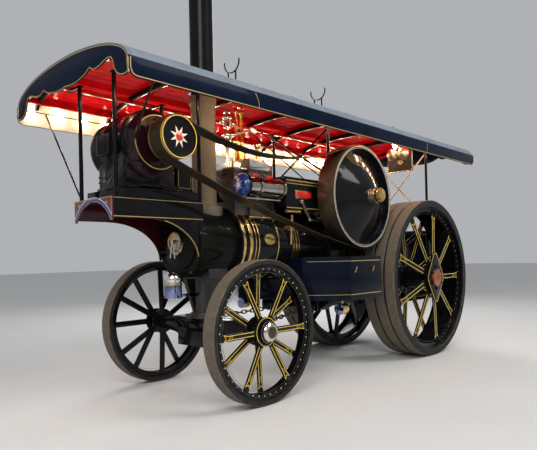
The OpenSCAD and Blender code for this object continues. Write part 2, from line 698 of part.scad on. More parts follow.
// Angles on the pulley and on the flywheel at which a sagging run is tangent; s is 1 above and -1 below
function tangents(s, sag, a, n) = n == 0 ? a : let (d = on_wheel(a[1]) - on_pulley(a[0]), m = d[1] / d[0],
    k = 4 * sag / d[0]) tangents(s, sag, [s * 90 + atan(m - k), s * 90 + atan(m + k)], n - 1);
top_a = tangents(1, top_sag, [90, 90], 6);
low_a = tangents(-1, low_sag, [-90, -90], 6);
function run_pt(a, b, sag, t) = a + (b - a) * t - [0, 4 * sag * t * (1 - t)];
function arc(a0, a1) = let (n = ceil((a0 - a1) / belt_step)) [for (k = [0:n]) a0 + (a1 - a0) * k / n];
run_steps = 14;
// The loop's inner outline grown outwards by t
function belt_line(t) = concat(
    [for (a = arc(top_a[1], low_a[1])) on_wheel(a, t)],
    [for (k = [1:run_steps - 1])
        run_pt(on_wheel(low_a[1]), on_pulley(low_a[0]), low_sag, k / run_steps) - [0, t]],
    [for (a = arc(low_a[0] + 360, top_a[0])) on_pulley(a, t)],
    [for (k = [1:run_steps - 1])
        run_pt(on_pulley(top_a[0]), on_wheel(top_a[1]), top_sag, k / run_steps) + [0, t]]);
module drive_belt() color([0.16, 0.11, 0.08]) side(-belt_y - belt_w / 2, -belt_y + belt_w / 2) difference() {
    polygon(belt_line(belt_t));
    polygon(belt_line(0));
}

// Belly tank, wrapped under the barrel and out past the firebox
tank_x0 = -600;
tank_taper = 340;
tank_x1 = 380;
function shaft_at(x) = shaft_low[2] + (x - shaft_low[0]) * (shaft_knee[2] - shaft_low[2]) / (shaft_knee[0]
    - shaft_low[0]);
module belly_tank() color([0.04, 0.04, 0.06]) difference() {
    translate([0, 0, tank_bottom]) linear_extrude(tank_top - tank_bottom)
        polygon([[tank_x0, -530], [tank_x0 + tank_taper, -tank_half], [tank_x1, -tank_half],
            [tank_x1, tank_half], [tank_x0 + tank_taper, tank_half], [tank_x0, 530]]);
    along_x([tank_x0 - eps, 0, boiler_z]) cylinder(r = boiler_r + 5 + seat, h = 1200);
    box([firebox_x - seat, -horn_out - seat, tank_bottom - eps],
        [tank_x1 + eps, horn_out + seat, tank_top + eps]);
    // channel for the worm and the steering shaft
    side(worm_y - 35, worm_y + 35) polygon([[barrel_x - 110, tank_bottom - eps], [tank_x1 + eps, tank_bottom
        - eps], [tank_x1 + eps, shaft_at(tank_x1) + 40], [barrel_x - 110, shaft_low[2] + 40]]);
}
module tank_lamps() color("silver") both() {
    translate([-236, 800, tank_bottom - seat]) mirror([0, 0, 1]) cylinder(r = 20, h = 40);
    along_x([-236 - 60, 800, tank_bottom - seat - 100]) cylinder(r = 66, h = 110);
}

// Tender with the footplate in front of the coal space
tender_x0 = rear_x + 150 + seat;
foot_z = 760;
coal_x = 2330;
module tender() color([0.05, 0.05, 0.08]) {
    wall = 14;
    difference() {
        union() {
            side(-horn_out, horn_out) polygon([[tender_x0, foot_z - 60], [tender_x, foot_z - 60],
                [tender_x, tender_top], [coal_x - 60, tender_top], [tender_x0, 1560]]);
            box([firebox_end + 60, -horn_in + seat, foot_z - 60], [tender_x0 + eps, horn_in - seat, foot_z]);
        }
        // footplate space, open to the front and the top
        box([tender_x0 - eps, -horn_out + wall, foot_z], [coal_x - wall, horn_out - wall, tender_top + eps]);
        // coal space over the rear water tank
        box([coal_x, -horn_out + wall, 1150], [tender_x - wall, horn_out - wall, tender_top + eps]);
        // shovelling mouth
        box([coal_x - wall - eps, -200, 1150], [coal_x + eps, 200, 1500]);
    }
}
// Draw plate with its pin hole at the rear
module drawbar() color([0.1, 0.1, 0.1]) difference() {
    union() {
        box([tender_x + seat, -260, 690], [tender_x + 30, 260, 900]);
        box([tender_x + 29, -70, 690], [tender_x + 170, 70, 720]);
        box([tender_x + 29, -70, 790], [tender_x + 170, 70, 820]);
    }
    translate([tender_x + 115, 0, 680]) cylinder(r = 26, h = 160);
}

// Platform for the dynamo: a top plate, side plates and cheeks that sweep down to the smokebox
platform_end = -1864;
plate_t = 8;
cheek_len = 620;
cheek_h = 390;
module platform() color([0.12, 0.02, 0.03]) {
    difference() {
        box([platform_x, -platform_half, platform_bottom], [platform_end, platform_half, platform_top]);
        box([platform_x - eps, -platform_half + plate_t, platform_bottom - eps],
            [platform_end - plate_t, platform_half - plate_t, platform_top - 2 * plate_t]);
        along_x([smokebox_x - seat - eps, 0, boiler_z]) cylinder(r = smokebox_r + seat, h = 300);
    }
    // saddle that closes the gap over the smokebox
    difference() {
        box([smokebox_x, -platform_half, boiler_z + 60],
            [platform_end, platform_half, platform_bottom + eps]);
        box([smokebox_x - eps, -platform_half + plate_t, boiler_z],
            [platform_end - plate_t, platform_half - plate_t, platform_bottom + 2 * eps]);
        along_x([smokebox_x - 2 * eps, 0, boiler_z]) cylinder(r = smokebox_r + seat, h = 300);
    }
    both() difference() {
        box([smokebox_x - cheek_len, platform_half - plate_t, platform_bottom - cheek_h],
            [smokebox_x - seat, platform_half, platform_bottom + eps]);
        // quarter ellipse as a row of short steps along its curve
        side(platform_half - 2 * plate_t, platform_half + plate_t) polygon(concat(
            [[smokebox_x - cheek_len - eps, platform_bottom - cheek_h - eps]],
            [for (a = [0:6:90]) [smokebox_x - cheek_len + (cheek_len - 26) * sin(a),
                platform_bottom - cheek_h * (1 - cos(a)) - 2]],
            [[smokebox_x - 26, platform_bottom - cheek_h - eps]]));
    }
}
// Arched board across the platform's front
module valance() color([0.25, 0.03, 0.05]) cross(platform_x - 14 - seat, platform_x - seat) difference() {
    translate([-platform_half - 4, platform_bottom - 25]) square([2 * platform_half + 8, platform_top
        - platform_bottom + 25]);
    // arch through both tips and the apex
    rise = platform_top - 34 - (platform_bottom - 25);
    half = platform_half - 26;
    arch_r = (half * half + rise * rise) / (2 * rise);
    translate([0, platform_top - 34 - arch_r]) circle(r = arch_r);
}
module dynamo_bed() color([0.05, 0.05, 0.05]) {
    bed_z = platform_top + seat;
    difference() {
        box([-2750, -platform_half, bed_z], [-1920, platform_half, bed_z + bed_h]);
        box([-2742, -platform_half + 8, bed_z - eps], [-1928, platform_half - 8, bed_z + bed_h - 10]);
    }
}

// Dynamo: round yoke on feet, end bell, commutator end, pulley
bed_top = platform_top + seat + bed_h;
yoke_y = -363;
yoke_l = 350;
yoke_end = yoke_y + yoke_l;
bell_l = 90;
bearing_l = 60;
yoke_flange = 70;
module dynamo_frame() color([0.1, 0.05, 0.07]) difference() {
    bell_y = yoke_y - bell_l;
    union() {
        along_y([dynamo_x, yoke_y, dynamo_z]) cylinder(r = yoke_r - 12, h = yoke_l);
        for (y = [yoke_y, yoke_end - yoke_flange]) along_y([dynamo_x, y, dynamo_z])
            cylinder(r = yoke_r, h = yoke_flange);
        along_y([dynamo_x, bell_y, dynamo_z]) cylinder(r1 = 236, r2 = yoke_r - 30, h = bell_l + eps);
        along_y([dynamo_x, bell_y, dynamo_z]) cylinder(r = 246, h = 24);
        along_y([dynamo_x, bell_y - bearing_l, dynamo_z]) cylinder(r = 110, h = bearing_l + 2);
        for (s = [-1, 1]) translate([dynamo_x + s * 205, 0, 0])
            box([-80, yoke_y + 30, bed_top + seat], [80, yoke_end + 20, bed_top + 45]);
        box([dynamo_x - 270, yoke_y + 45, bed_top + 20], [dynamo_x + 270, yoke_end - 15, dynamo_z - 100]);
        // terminal box with cooling fins on the front side
        box([platform_x + 15, yoke_y + 118, dynamo_z - 109],
            [dynamo_x - yoke_r + 40, yoke_end - 20, dynamo_z + 66]);
        for (k = [0:6]) translate([0, yoke_y + 122 + k * 28, 0])
            box([platform_x + 6, 0, dynamo_z - 100], [platform_x + 16, 10, dynamo_z + 57]);
    }
    along_y([dynamo_x, bell_y - bearing_l - eps, dynamo_z]) cylinder(r = dynamo_shaft_r + run, h = 700);
    box([dynamo_x - 600, -600, 0], [dynamo_x + 600, 600, bed_top + seat]);
}
// Commutator end with its brush boxes, standing on two fluted posts
comm_l = 250;
module dynamo_commutator() color([0.12, 0.11, 0.11]) difference() {
    union() {
        along_y([dynamo_x, yoke_end + seat, dynamo_z]) cylinder(r = 240, h = comm_l - 20);
        for (y = [yoke_end + 20, yoke_end + comm_l - 30]) along_y([dynamo_x, y, dynamo_z])
            cylinder(r = 279, h = 26);
        for (a = [45:90:315]) translate([dynamo_x, 0, dynamo_z]) rotate([0, a, 0])
            box([190, yoke_end + 80, -50], [268, yoke_end + 180, 50]);
        along_y([dynamo_x, yoke_end + 20, dynamo_z]) cylinder(r = 110, h = comm_l + 30);
        for (s = [-1, 1]) translate([dynamo_x + s * 170, yoke_end + 178, bed_top + seat]) {
            cylinder(r = 72, h = 24);
            cylinder(r = 52, h = 240);
            for (z = [80, 130]) translate([0, 0, z]) cylinder(r = 60, h = 16);
        }
    }
    along_y([dynamo_x, yoke_end - 1, dynamo_z]) cylinder(r = dynamo_shaft_r + run, h = 171);
}
module dynamo_pulley() color([0.6, 0.42, 0.25]) {
    face = belt_y + pulley_w / 2;
    difference() {
        along_y([dynamo_x, -face, dynamo_z]) cylinder(r = pulley_r, h = pulley_w);
        along_y([dynamo_x, -face - eps, dynamo_z]) cylinder(r = pulley_r - 14, h = 14);
    }
    back = pulley_w - face;
    along_y([dynamo_x, back - eps, dynamo_z]) cylinder(r = dynamo_shaft_r, h = yoke_end + 140 - back);
    along_y([dynamo_x, back - eps, dynamo_z])
        cylinder(r = 70, h = yoke_y - bell_l - bearing_l - clear - back);
}

// Canopy. The roof's section is half an ellipse, shrunk by t for each inner layer.
roof_t = 12;
lining_t = 10;
arch_step = 6;
function arch(t) = [for (a = [0:arch_step:180]) [(canopy_half - 18 - t) * cos(a),
    fascia_top + (roof_top - fascia_top - t) * sin(a)]];
module shell(t0, t1, x0, x1) cross(x0, x1) difference() {
    polygon(arch(t0));
    polygon(concat(arch(t1), [[-canopy_half, fascia_top - 50], [canopy_half, fascia_top - 50]]));
}
module roof_hole() translate([chimney_x, 0, fascia_top]) cylinder(r = chimney_r + 25, h = 400);
module canopy_roof() color([0.55, 0.6, 0.68]) difference() {
    shell(0, roof_t, canopy_front, canopy_rear);
    roof_hole();
}
module canopy_ceiling() color("red") difference() {
    shell(roof_t + seat, roof_t + seat + lining_t, canopy_front + 14, canopy_rear - 14);
    roof_hole();
}
// Half of the front board's lower edge, from the middle outwards: y, z
edge_rows = [[0, 2902], [90, 2893], [180, 2893], [270, 2908], [330, 2921], [420, 2962], [455, 2938],
    [500, 2930], [580, 2940], [640, 2958], [690, 2968], [740, 2962], [765, 2930], [785, 2860], [820, 2822],
    [870, 2795], [930, 2788], [1000, 2800]];
module canopy_boards() color([0.04, 0.07, 0.16]) {
    board_t = 18;
    both() side(canopy_half - board_t + seat, canopy_half) polygon([[canopy_front + 60, fascia_bottom],
        [canopy_rear - 60, fascia_bottom], [canopy_rear, fascia_bottom + 50],
        [canopy_rear, fascia_top], [canopy_front, fascia_top], [canopy_front, fascia_bottom + 60],
        [canopy_front + 20, fascia_bottom + 14]]);
    // end boards under the roof's arch
    end_t = 14;
    for (x = [canopy_front, canopy_rear - end_t + seat]) cross(x, x + end_t - seat) difference() {
        polygon(concat(arch(roof_t + seat), [[-canopy_half + board_t, fascia_bottom],
            [canopy_half - board_t, fascia_bottom]]));
        polygon(concat([for (p = edge_rows) p], [[1000, 2700], [-1000, 2700]],
            [for (i = [len(edge_rows) - 1:-1:1]) [-edge_rows[i][0], edge_rows[i][1]]]));
    }
}
rib_places = [canopy_front + 165, -2150, -1300, -400, 350, 1150, 1950, canopy_rear - 315];
rib_depth = 55;
rib_half = 14;
beam_y = 490;
beam_z = 3045;
// Rail along the ceiling's steep outer part: half spacing, underside, width and height
rail_y = canopy_half - 130;
rail_z = 2963;
rail_w = 26;
rail_h = 38;
module rail_bar(grow) both() box([canopy_front + 24 - grow, rail_y - rail_w / 2 - grow, rail_z - grow],
    [canopy_rear - 24 + grow, rail_y + rail_w / 2 + grow, rail_z + rail_h + grow]);
module canopy_rails() color("red") rail_bar(0);
module canopy_ribs() color([0.1, 0.09, 0.08]) {
    lining = roof_t + lining_t + 2 * seat;
    difference() {
        for (x = rib_places) cross(x - rib_half, x + rib_half) difference() {
            polygon(arch(lining));
            polygon(concat(arch(lining + rib_depth), [[-canopy_half, fascia_top - 50],
                [canopy_half, fascia_top - 50]]));
        }
        rail_bar(seat);
    }
    // long beams that carry the ribs on the posts
    both() box([rib_places[0] - rib_half, beam_y - 20, beam_z], [rib_places[7] + rib_half, beam_y + 20,
        beam_z + 40]);
}
// Posts: place along the engine, half spacing, foot height
post_rows = [[platform_x + 45, 298, platform_top], [-1889, 299, platform_top], [40, 452, horn_top],
    [2520, 489, 1300]];
module canopy_posts() color([0.08, 0.08, 0.1]) {
    both() {
        for (p = post_rows) translate([p[0], p[1], p[2] + seat])
            cylinder(r = post_r, h = beam_z - p[2] - 2 * seat);
        box([2520 - 30, horn_out + seat, 1286], [2520 + 30, 508, 1300 + seat + eps]);
        // stays out to the canopy's edge
        bar([platform_x + 45, 298 + post_r - 3, 1990],
            [platform_x + 25, canopy_half - 38, fascia_top - 20], 9);
        // cross bearers between beam and post
        for (p = post_rows) box([p[0] - 20, min(p[1], beam_y) - 30, beam_z - 20],
            [p[0] + 20, max(p[1], beam_y) + 25, beam_z - seat]);
    }
}
// Crossed stays between the posts of a pair: place along the engine, half spacing, foot and head heights
brace_r = 12;
brace_rows = [[40, 452, horn_top + 115, 2990], [2520, 489, 1950, 2990]];
module canopy_lattice() color([0.1, 0.1, 0.1]) for (b = brace_rows) {
    off = post_r + brace_r + seat;
    bar([b[0] - off, -b[1], b[2]], [b[0] - off, b[1], b[3]], brace_r);
    bar([b[0] + off, b[1], b[2]], [b[0] + off, -b[1], b[3]], brace_r);
}
// Hoops on the roof that carry the spare chimney: place, height of the hoop's middle over the roof
cradle_rows = [[-2350, 130], [-1130, 440], [450, 440], [2200, 200]];
module roof_cradles() color([0.08, 0.08, 0.08]) for (c = cradle_rows)
    translate([c[0], 0, roof_top + seat]) {
        cross(-6, 6) difference() {
            translate([0, c[1]]) circle(r = 125);
            translate([0, c[1]]) circle(r = 113);
            translate([-130, c[1] + 20]) square([260, 130]);
        }
        for (y = [-60, 60]) box([-6, y - 8, -0.1], [6, y + 8, c[1] - 103]);
        box([-30, -80, -0.1], [30, 80, 8]);
    }
// Lamp in front of the perch bracket: a drum with a ring and a domed top
module front_lamp() color("silver") {
    lamp_x = -2011;
    lamp_r = 92;
    lamp_z = 1010;
    translate([lamp_x, 0, lamp_z]) cylinder(r = lamp_r - 4, h = 182);
    translate([lamp_x, 0, lamp_z + 130]) cylinder(r = lamp_r, h = 18);
    translate([lamp_x, 0, lamp_z + 181]) intersection() {
        sphere(r = lamp_r);
        cylinder(r = lamp_r, h = lamp_r);
    }
    box([lamp_x + 80, -30, lamp_z + 4], [front_x - 100 - seat, 30, lamp_z + 34]);
}
// Board with two domed meters, a socket and its hanger
module switchboard() color([0.08, 0.06, 0.05]) {
    board = [1700, 1725];
    meter_r = 82;
    box([board[0], -690, 2586], [board[1], -300, 2900]);
    for (y = [-382, -561]) difference() {
        translate([board[0] + eps, y, 2852]) sphere(r = meter_r);
        box([board[0] + eps, y - 100, 2700], [board[0] + 100, y + 100, 3000]);
    }
    along_x([board[0] - 30, -509, 2723]) cylinder(r = 30, h = 31);
    box([1705, -beam_y - 15, 2890], [1720, -beam_y + 15, beam_z - seat]);
}

smokebox();
smokebox_door();
boiler();
boiler_bands();
firebox();
hornplates();
fire_door();
chimney();
cylinder_block();
cylinder_cover();
valve_cylinder();
safety_valves();
motion_case();
crank_cover();
crankshaft();
flywheel();
flywheel_hub();
drive_belt();
perch_bracket();
front_axle();
steering_chains();
steering_gear();
front_tyre_left();
front_wheel_left();
front_hub_left();
front_tyre_right();
front_wheel_right();
front_hub_right();
rear_axle();
rear_tyre_left();
rear_wheel_left();
rear_hub_left();
rear_tyre_right();
rear_wheel_right();
rear_hub_right();
belly_tank();
tender();
drawbar();
platform();
valance();
dynamo_bed();
dynamo_frame();
dynamo_commutator();
dynamo_pulley();
canopy_roof();
canopy_ceiling();
canopy_boards();
canopy_ribs();
canopy_posts();
canopy_lattice();
roof_cradles();
front_lamp();
tank_lamps();
switchboard();
governor();
canopy_rails();
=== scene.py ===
"""Looks of a showman's road locomotive: paint, lining, brass, rubber, lamps, canopy and stage.

Metres, Z up, the front towards -X, the engine's left towards -Y, as in the frame.
"""

from math import asin, cos, hypot, pi, radians, sin

import bmesh
import bpy
from mathutils import Matrix, Vector


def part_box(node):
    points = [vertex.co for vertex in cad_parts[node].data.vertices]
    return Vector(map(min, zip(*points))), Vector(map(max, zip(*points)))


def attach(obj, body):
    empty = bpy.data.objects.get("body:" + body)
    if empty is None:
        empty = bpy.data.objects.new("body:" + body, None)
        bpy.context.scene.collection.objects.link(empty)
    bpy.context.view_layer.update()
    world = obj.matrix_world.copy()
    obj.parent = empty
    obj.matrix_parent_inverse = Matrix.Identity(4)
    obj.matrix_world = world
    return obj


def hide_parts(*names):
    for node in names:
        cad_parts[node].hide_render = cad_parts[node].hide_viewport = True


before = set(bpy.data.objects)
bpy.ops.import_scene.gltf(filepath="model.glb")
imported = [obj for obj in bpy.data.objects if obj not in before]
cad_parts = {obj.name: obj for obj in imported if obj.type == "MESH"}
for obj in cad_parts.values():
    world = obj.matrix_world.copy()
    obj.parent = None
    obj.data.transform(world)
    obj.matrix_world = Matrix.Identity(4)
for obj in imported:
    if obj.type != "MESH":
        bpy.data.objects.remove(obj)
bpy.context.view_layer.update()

bl_info = {
    "name": "Steam traction engine",
    "version": (1, 0, 0),
    "blender": (4, 5, 0),
    "location": "View3D > Sidebar > Engine",
    "description": "Paint, lining, brasswork, tyres, lamps and canopy of a showman's road locomotive",
    "category": "Object",
}


def middle(node):
    """Middle of a CAD node's box."""
    low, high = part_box(node)
    return (Vector(low) + Vector(high)) / 2


def radius_of(node):
    """Half the height of a CAD node's box."""
    low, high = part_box(node)
    return (high[2] - low[2]) / 2


SIDES = ("left", "right")
OUT = Vector((0.0, -1.0, 0.0))
AHEAD = Vector((-1.0, 0.0, 0.0))
BACK = Vector((1.0, 0.0, 0.0))
# Least share along Y of the normal of a face that counts as a side of the flywheel or the pulley
SIDEWAYS = 0.7

BOARD_LOW, BOARD_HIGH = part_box("canopy_boards")
ROOF_LOW, ROOF_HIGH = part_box("canopy_roof")
PLATFORM_LOW, PLATFORM_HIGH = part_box("platform")
SMOKEBOX_LENGTH = 0.515
SMOKE_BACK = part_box("smokebox")[1][0]
SMOKE_FACE = SMOKE_BACK - SMOKEBOX_LENGTH
SMOKE_R = radius_of("smokebox")
BARREL_R = radius_of("boiler")
BOILER_Z = middle("boiler").z
HORN_FACE = -0.4656
DYNAMO_AXIS = middle("dynamo_pulley")
PULLEY_R = radius_of("dynamo_pulley")
FLYWHEEL_AXIS = middle("flywheel")
FLYWHEEL_R = radius_of("flywheel")
FLYWHEEL_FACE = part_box("flywheel")[0][1] + 0.190


class EnginePaint(bpy.types.PropertyGroup):
    """Colours of the engine's finishes."""

    enamel: bpy.props.FloatVectorProperty(
        name="Black enamel", description="Boiler, wheels and motion", subtype="COLOR",
        default=(0.0045, 0.0045, 0.006))
    smoke: bpy.props.FloatVectorProperty(
        name="Smokebox black", description="Heat-proof black", subtype="COLOR",
        default=(0.006, 0.006, 0.0055))
    navy: bpy.props.FloatVectorProperty(
        name="Navy", description="Canopy side boards", subtype="COLOR", default=(0.0045, 0.0085, 0.021))
    maroon: bpy.props.FloatVectorProperty(
        name="Maroon", description="Platform and dynamo", subtype="COLOR", default=(0.045, 0.004, 0.008))
    red: bpy.props.FloatVectorProperty(
        name="Ceiling red", description="Canopy ceiling", subtype="COLOR", default=(0.80, 0.003, 0.006))
    cream: bpy.props.FloatVectorProperty(
        name="Cream", description="Inner faces of the side boards", subtype="COLOR",
        default=(0.84, 0.74, 0.60))
    roof: bpy.props.FloatVectorProperty(
        name="Roof", description="Top of the canopy", subtype="COLOR", default=(0.175, 0.205, 0.255))
    lining: bpy.props.FloatVectorProperty(
        name="Lining", description="Yellow lining", subtype="COLOR", default=(0.72, 0.50, 0.05))
    gold: bpy.props.FloatVectorProperty(
        name="Gold", description="Gold edges of the boards", subtype="COLOR", default=(0.36, 0.25, 0.065))


class EngineSizes(bpy.types.PropertyGroup):
    """Sizes of the small work on the engine."""

    rivet: bpy.props.FloatProperty(
        name="Rivet", description="Radius of a rivet head", default=0.011, unit="LENGTH")
    line: bpy.props.FloatProperty(
        name="Line", description="Width of a painted line", default=0.0065, unit="LENGTH")
    edge: bpy.props.FloatProperty(
        name="Edge", description="Rounding of plate edges", default=0.002, unit="LENGTH")


def sizes():
    """The small sizes in use."""
    return bpy.context.scene.engine_sizes


# Finishes

def node(tree, kind, inputs=None, **settings):
    """Adds a node; an input is given by name or number, as a value or as a socket to link."""
    made = tree.nodes.new(kind)
    for key, value in settings.items():
        setattr(made, key, value)
    for key, value in (inputs or {}).items():
        if isinstance(value, bpy.types.NodeSocket):
            tree.links.new(value, made.inputs[key])
        else:
            made.inputs[key].default_value = value
    return made


def shade(colour, factor):
    """A lighter or darker version of a colour."""
    return tuple(min(1.0, c * factor) for c in colour)


class Finish:
    """A material in the making, with its patterns in the object's own place."""

    def __init__(self, name):
        self.material = bpy.data.materials.new(f"{name}_finish")
        self.material.use_nodes = True
        self.tree = self.material.node_tree
        self.shader = self.tree.nodes["Principled BSDF"]
        self.where = self.tree.nodes.new("ShaderNodeTexCoord").outputs["Object"]

    def along(self, axis):
        """The place along one axis."""
        return node(self.tree, "ShaderNodeSeparateXYZ", {"Vector": self.where}).outputs[axis]

    def mapped(self, **inputs):
        """The place moved or stretched."""
        return node(self.tree, "ShaderNodeMapping", {"Vector": self.where, **inputs}).outputs["Vector"]

    def maths(self, operation, one, two):
        """The result of an operation on two values."""
        return node(self.tree, "ShaderNodeMath", {0: one, 1: two}, operation=operation).outputs[0]

    def noise(self, scale, detail=3.0, rough=0.5, stretch=None):
        """Grey noise, closer along an axis by the factors of stretch."""
        where = self.mapped(Scale=stretch) if stretch else self.where
        return node(self.tree, "ShaderNodeTexNoise", {
            "Vector": where, "Scale": scale, "Detail": detail, "Roughness": rough}).outputs["Fac"]

    def spread(self, value, low=0.0, high=1.0, start=0.35, stop=0.65):
        """Maps the range from start to stop, a noise's middle, to low and high."""
        return node(self.tree, "ShaderNodeMapRange", {
            "Value": value, "From Min": start, "From Max": stop, "To Min": low, "To Max": high}).outputs[0]

    def blend(self, share, one, two):
        """Mixes two colours, each a tuple or a socket."""
        one, two = [colour if isinstance(colour, bpy.types.NodeSocket) else (*colour[:3], 1.0)
                    for colour in (one, two)]
        return node(self.tree, "ShaderNodeMix", {0: share, 6: one, 7: two}, data_type="RGBA").outputs[2]

    def mottle(self, cloud, colour, dark, light):
        """The colour, darker to lighter with a noise, by two factors."""
        return self.blend(self.spread(cloud), shade(colour, dark), shade(colour, light))

    def wire(self, colour, rough, height, distance, strength=0.4, **constants):
        """Joins colour, roughness and relief to the shader and sets its constants; returns the material."""
        inputs = self.shader.inputs
        relief = node(self.tree, "ShaderNodeBump", {
            "Height": height, "Strength": strength, "Distance": distance}).outputs["Normal"]
        for socket, key in ((colour, "Base Color"), (rough, "Roughness"), (relief, "Normal")):
            self.tree.links.new(socket, inputs[key])
        for key, value in constants.items():
            inputs[key.replace("_", " ")].default_value = value
        return self.material


DUST = (0.105, 0.080, 0.052)
DUST_HEIGHT = 1.5


def enamel(name, colour, gloss=0.10, dust=0.10, coat=0.2, grain=0.0003):
    """Varnished coach paint: faint mottling, brush drag in the gloss, road dust towards the ground."""
    made = Finish(name)
    low = made.spread(made.along("Z"), dust, 0.0, 0.0, DUST_HEIGHT)
    patch = made.spread(made.noise(7.0, 6.0, 0.65), 0.0, 1.0, 0.42, 0.7)
    mottled = made.mottle(made.noise(2.2, 4.0), colour, 0.8, 1.25)
    drag = made.noise(30.0, 5.0, 0.6, (1.0, 1.0, 6.0))
    return made.wire(made.blend(made.maths("MULTIPLY", low, patch), mottled, DUST),
                     made.spread(drag, gloss * 0.7, gloss * 1.7), made.noise(260.0, 2.0), grain,
                     Coat_Weight=coat, Coat_Roughness=0.04, Specular_IOR_Level=coat * 0.4)


def bright_metal(name, colour, tarnish, gloss, grain=(1.0, 1.0, 1.0)):
    """Polished or turned metal with tarnish in patches and a fine directed grain."""
    made = Finish(name)
    patch = made.spread(made.noise(6.0, 5.0, 0.6), 0.0, 1.0, 0.4, 0.75)
    fine = made.noise(90.0, 4.0, 0.7, grain)
    return made.wire(made.blend(patch, colour, tarnish), made.spread(fine, gloss * 0.7, gloss * 1.6), fine,
                     0.0003, 0.25, Metallic=1.0)


def casting(name, colour, rough=0.45):
    """Painted rough casting: sand-cast grain and oily darker patches."""
    made = Finish(name)
    cloud = made.noise(5.0, 6.0, 0.65)
    return made.wire(made.mottle(cloud, colour, 0.6, 1.3), made.spread(cloud, rough * 0.8, rough * 1.25),
                     made.noise(120.0, 6.0, 0.75), 0.0012, 0.5, Coat_Weight=0.15, Coat_Roughness=0.3)


def tyre_rubber(name, tyre):
    """Rubber, dark on its walls and tan with road dust over the tread, with faint wear round the wheel."""
    made, centre, radius = Finish(name), middle(tyre), radius_of(tyre)
    flat = made.mapped(Location=(-centre.x, 0.0, -centre.z), Scale=(1.0, 0.0, 1.0))
    out = node(made.tree, "ShaderNodeVectorMath", {0: flat}, operation="LENGTH").outputs["Value"]
    worn = made.maths("ADD", out, made.spread(made.noise(9.0, 5.0), -0.004, 0.004, 0.3, 0.7))
    dusty = made.blend(made.spread(made.noise(34.0, 10.0, 0.75), 0.0, 1.0, 0.3, 0.7),
                       (0.072, 0.059, 0.044), (0.165, 0.134, 0.098))
    wall = made.blend(made.spread(made.noise(14.0, 6.0, 0.6)), (0.007, 0.007, 0.007), (0.022, 0.020, 0.018))
    tread = made.spread(worn, 0.0, 1.0, radius - 0.010, radius - 0.002)
    fine = made.noise(190.0, 5.0, 0.7)
    return made.wire(made.blend(tread, wall, dusty), made.spread(fine, 0.62, 0.88), fine, 0.0012, 0.5,
                     Specular_IOR_Level=0.35)


def oiled_belting(name, dark, light):
    """Dark oiled belting with a lengthwise weave."""
    made = Finish(name)
    fibre = made.noise(14.0, 6.0, 0.7, (1.0, 26.0, 2.0))
    return made.wire(made.blend(made.spread(fibre), dark, light), made.spread(fibre, 0.35, 0.6), fibre,
                     0.0010, 0.5, Specular_IOR_Level=0.2)


def painted_canvas(name, colour):
    """Painted canvas on boards: weave, pale weathering and darker streaks down the curve."""
    made = Finish(name)
    cloud = made.noise(1.6, 8.0, 0.65)
    streak = made.spread(made.noise(3.0, 6.0, 0.6, (14.0, 1.0, 1.0)), 0.0, 0.35, 0.5, 0.8)
    speck = made.spread(made.noise(70.0, 4.0, 0.8), 0.0, 0.3, 0.6, 0.75)
    stained = made.blend(streak, made.mottle(cloud, colour, 0.82, 1.18), shade(colour, 0.55))
    return made.wire(made.blend(speck, stained, shade(colour, 1.6)), made.spread(cloud, 0.5, 0.72),
                     made.noise(240.0, 3.0, 0.5, (1.0, 3.0, 3.0)), 0.0012, 0.45, Specular_IOR_Level=0.3)


def lacquer(name, colour, gloss=0.1, coat=0.7):
    """Hard bright gloss paint for lining, beams and plates."""
    made = Finish(name)
    drag = made.noise(22.0, 4.0, 0.6, (0.4, 6.0, 6.0))
    return made.wire(made.mottle(made.noise(11.0, 5.0, 0.6), colour, 0.86, 1.1),
                     made.spread(drag, gloss, gloss * 2.2), drag, 0.0004, 0.2,
                     Coat_Weight=coat, Coat_Roughness=0.06)


def boarded(name, colour, width):
    """Gloss paint on narrow lengthwise boards, with a groove at every joint and ripples in the varnish."""
    made = Finish(name)
    groove = made.spread(made.maths("PINGPONG", made.along("Y"), width / 2), 0.0, 1.0, 0.0, 0.006)
    lined = made.blend(groove, shade(colour, 0.35), made.mottle(made.noise(5.0, 4.0), colour, 0.85, 1.1))
    ripple = made.noise(4.0, 3.0, 0.5, (3.0, 1.0, 1.0))
    boards = made.wire(lined, made.spread(ripple, 0.08, 0.2), made.maths("ADD", groove, ripple), 0.005, 0.6,
                       Coat_Weight=0.15, Coat_Roughness=0.06, Specular_IOR_Level=0.0)
    relief = made.shader.inputs["Normal"].links[0].from_socket
    made.tree.links.new(relief, made.shader.inputs["Coat Normal"])
    return boards


def turned_drum(name, colour):
    """Lagged pulley drum: fine rings across its width and belt polish."""
    made = Finish(name)
    rings = made.noise(6.0, 5.0, 0.7, (0.6, 60.0, 0.6))
    return made.wire(made.mottle(rings, colour, 0.62, 1.2), made.spread(rings, 0.3, 0.5), rings, 0.0006, 0.4,
                     Specular_IOR_Level=0.2)


def glowing(name, colour, strength):
    """Lamp glass lit from behind its frosting."""
    made = Finish(name)
    frost = made.noise(120.0, 2.0)
    tint = made.blend(made.spread(frost), colour, shade(colour, 0.9))
    made.tree.links.new(tint, made.shader.inputs["Emission Color"])
    return made.wire(tint, made.spread(frost, 0.1, 0.25), frost, 0.0002, 0.2, Emission_Strength=strength)


FINISHES = {}


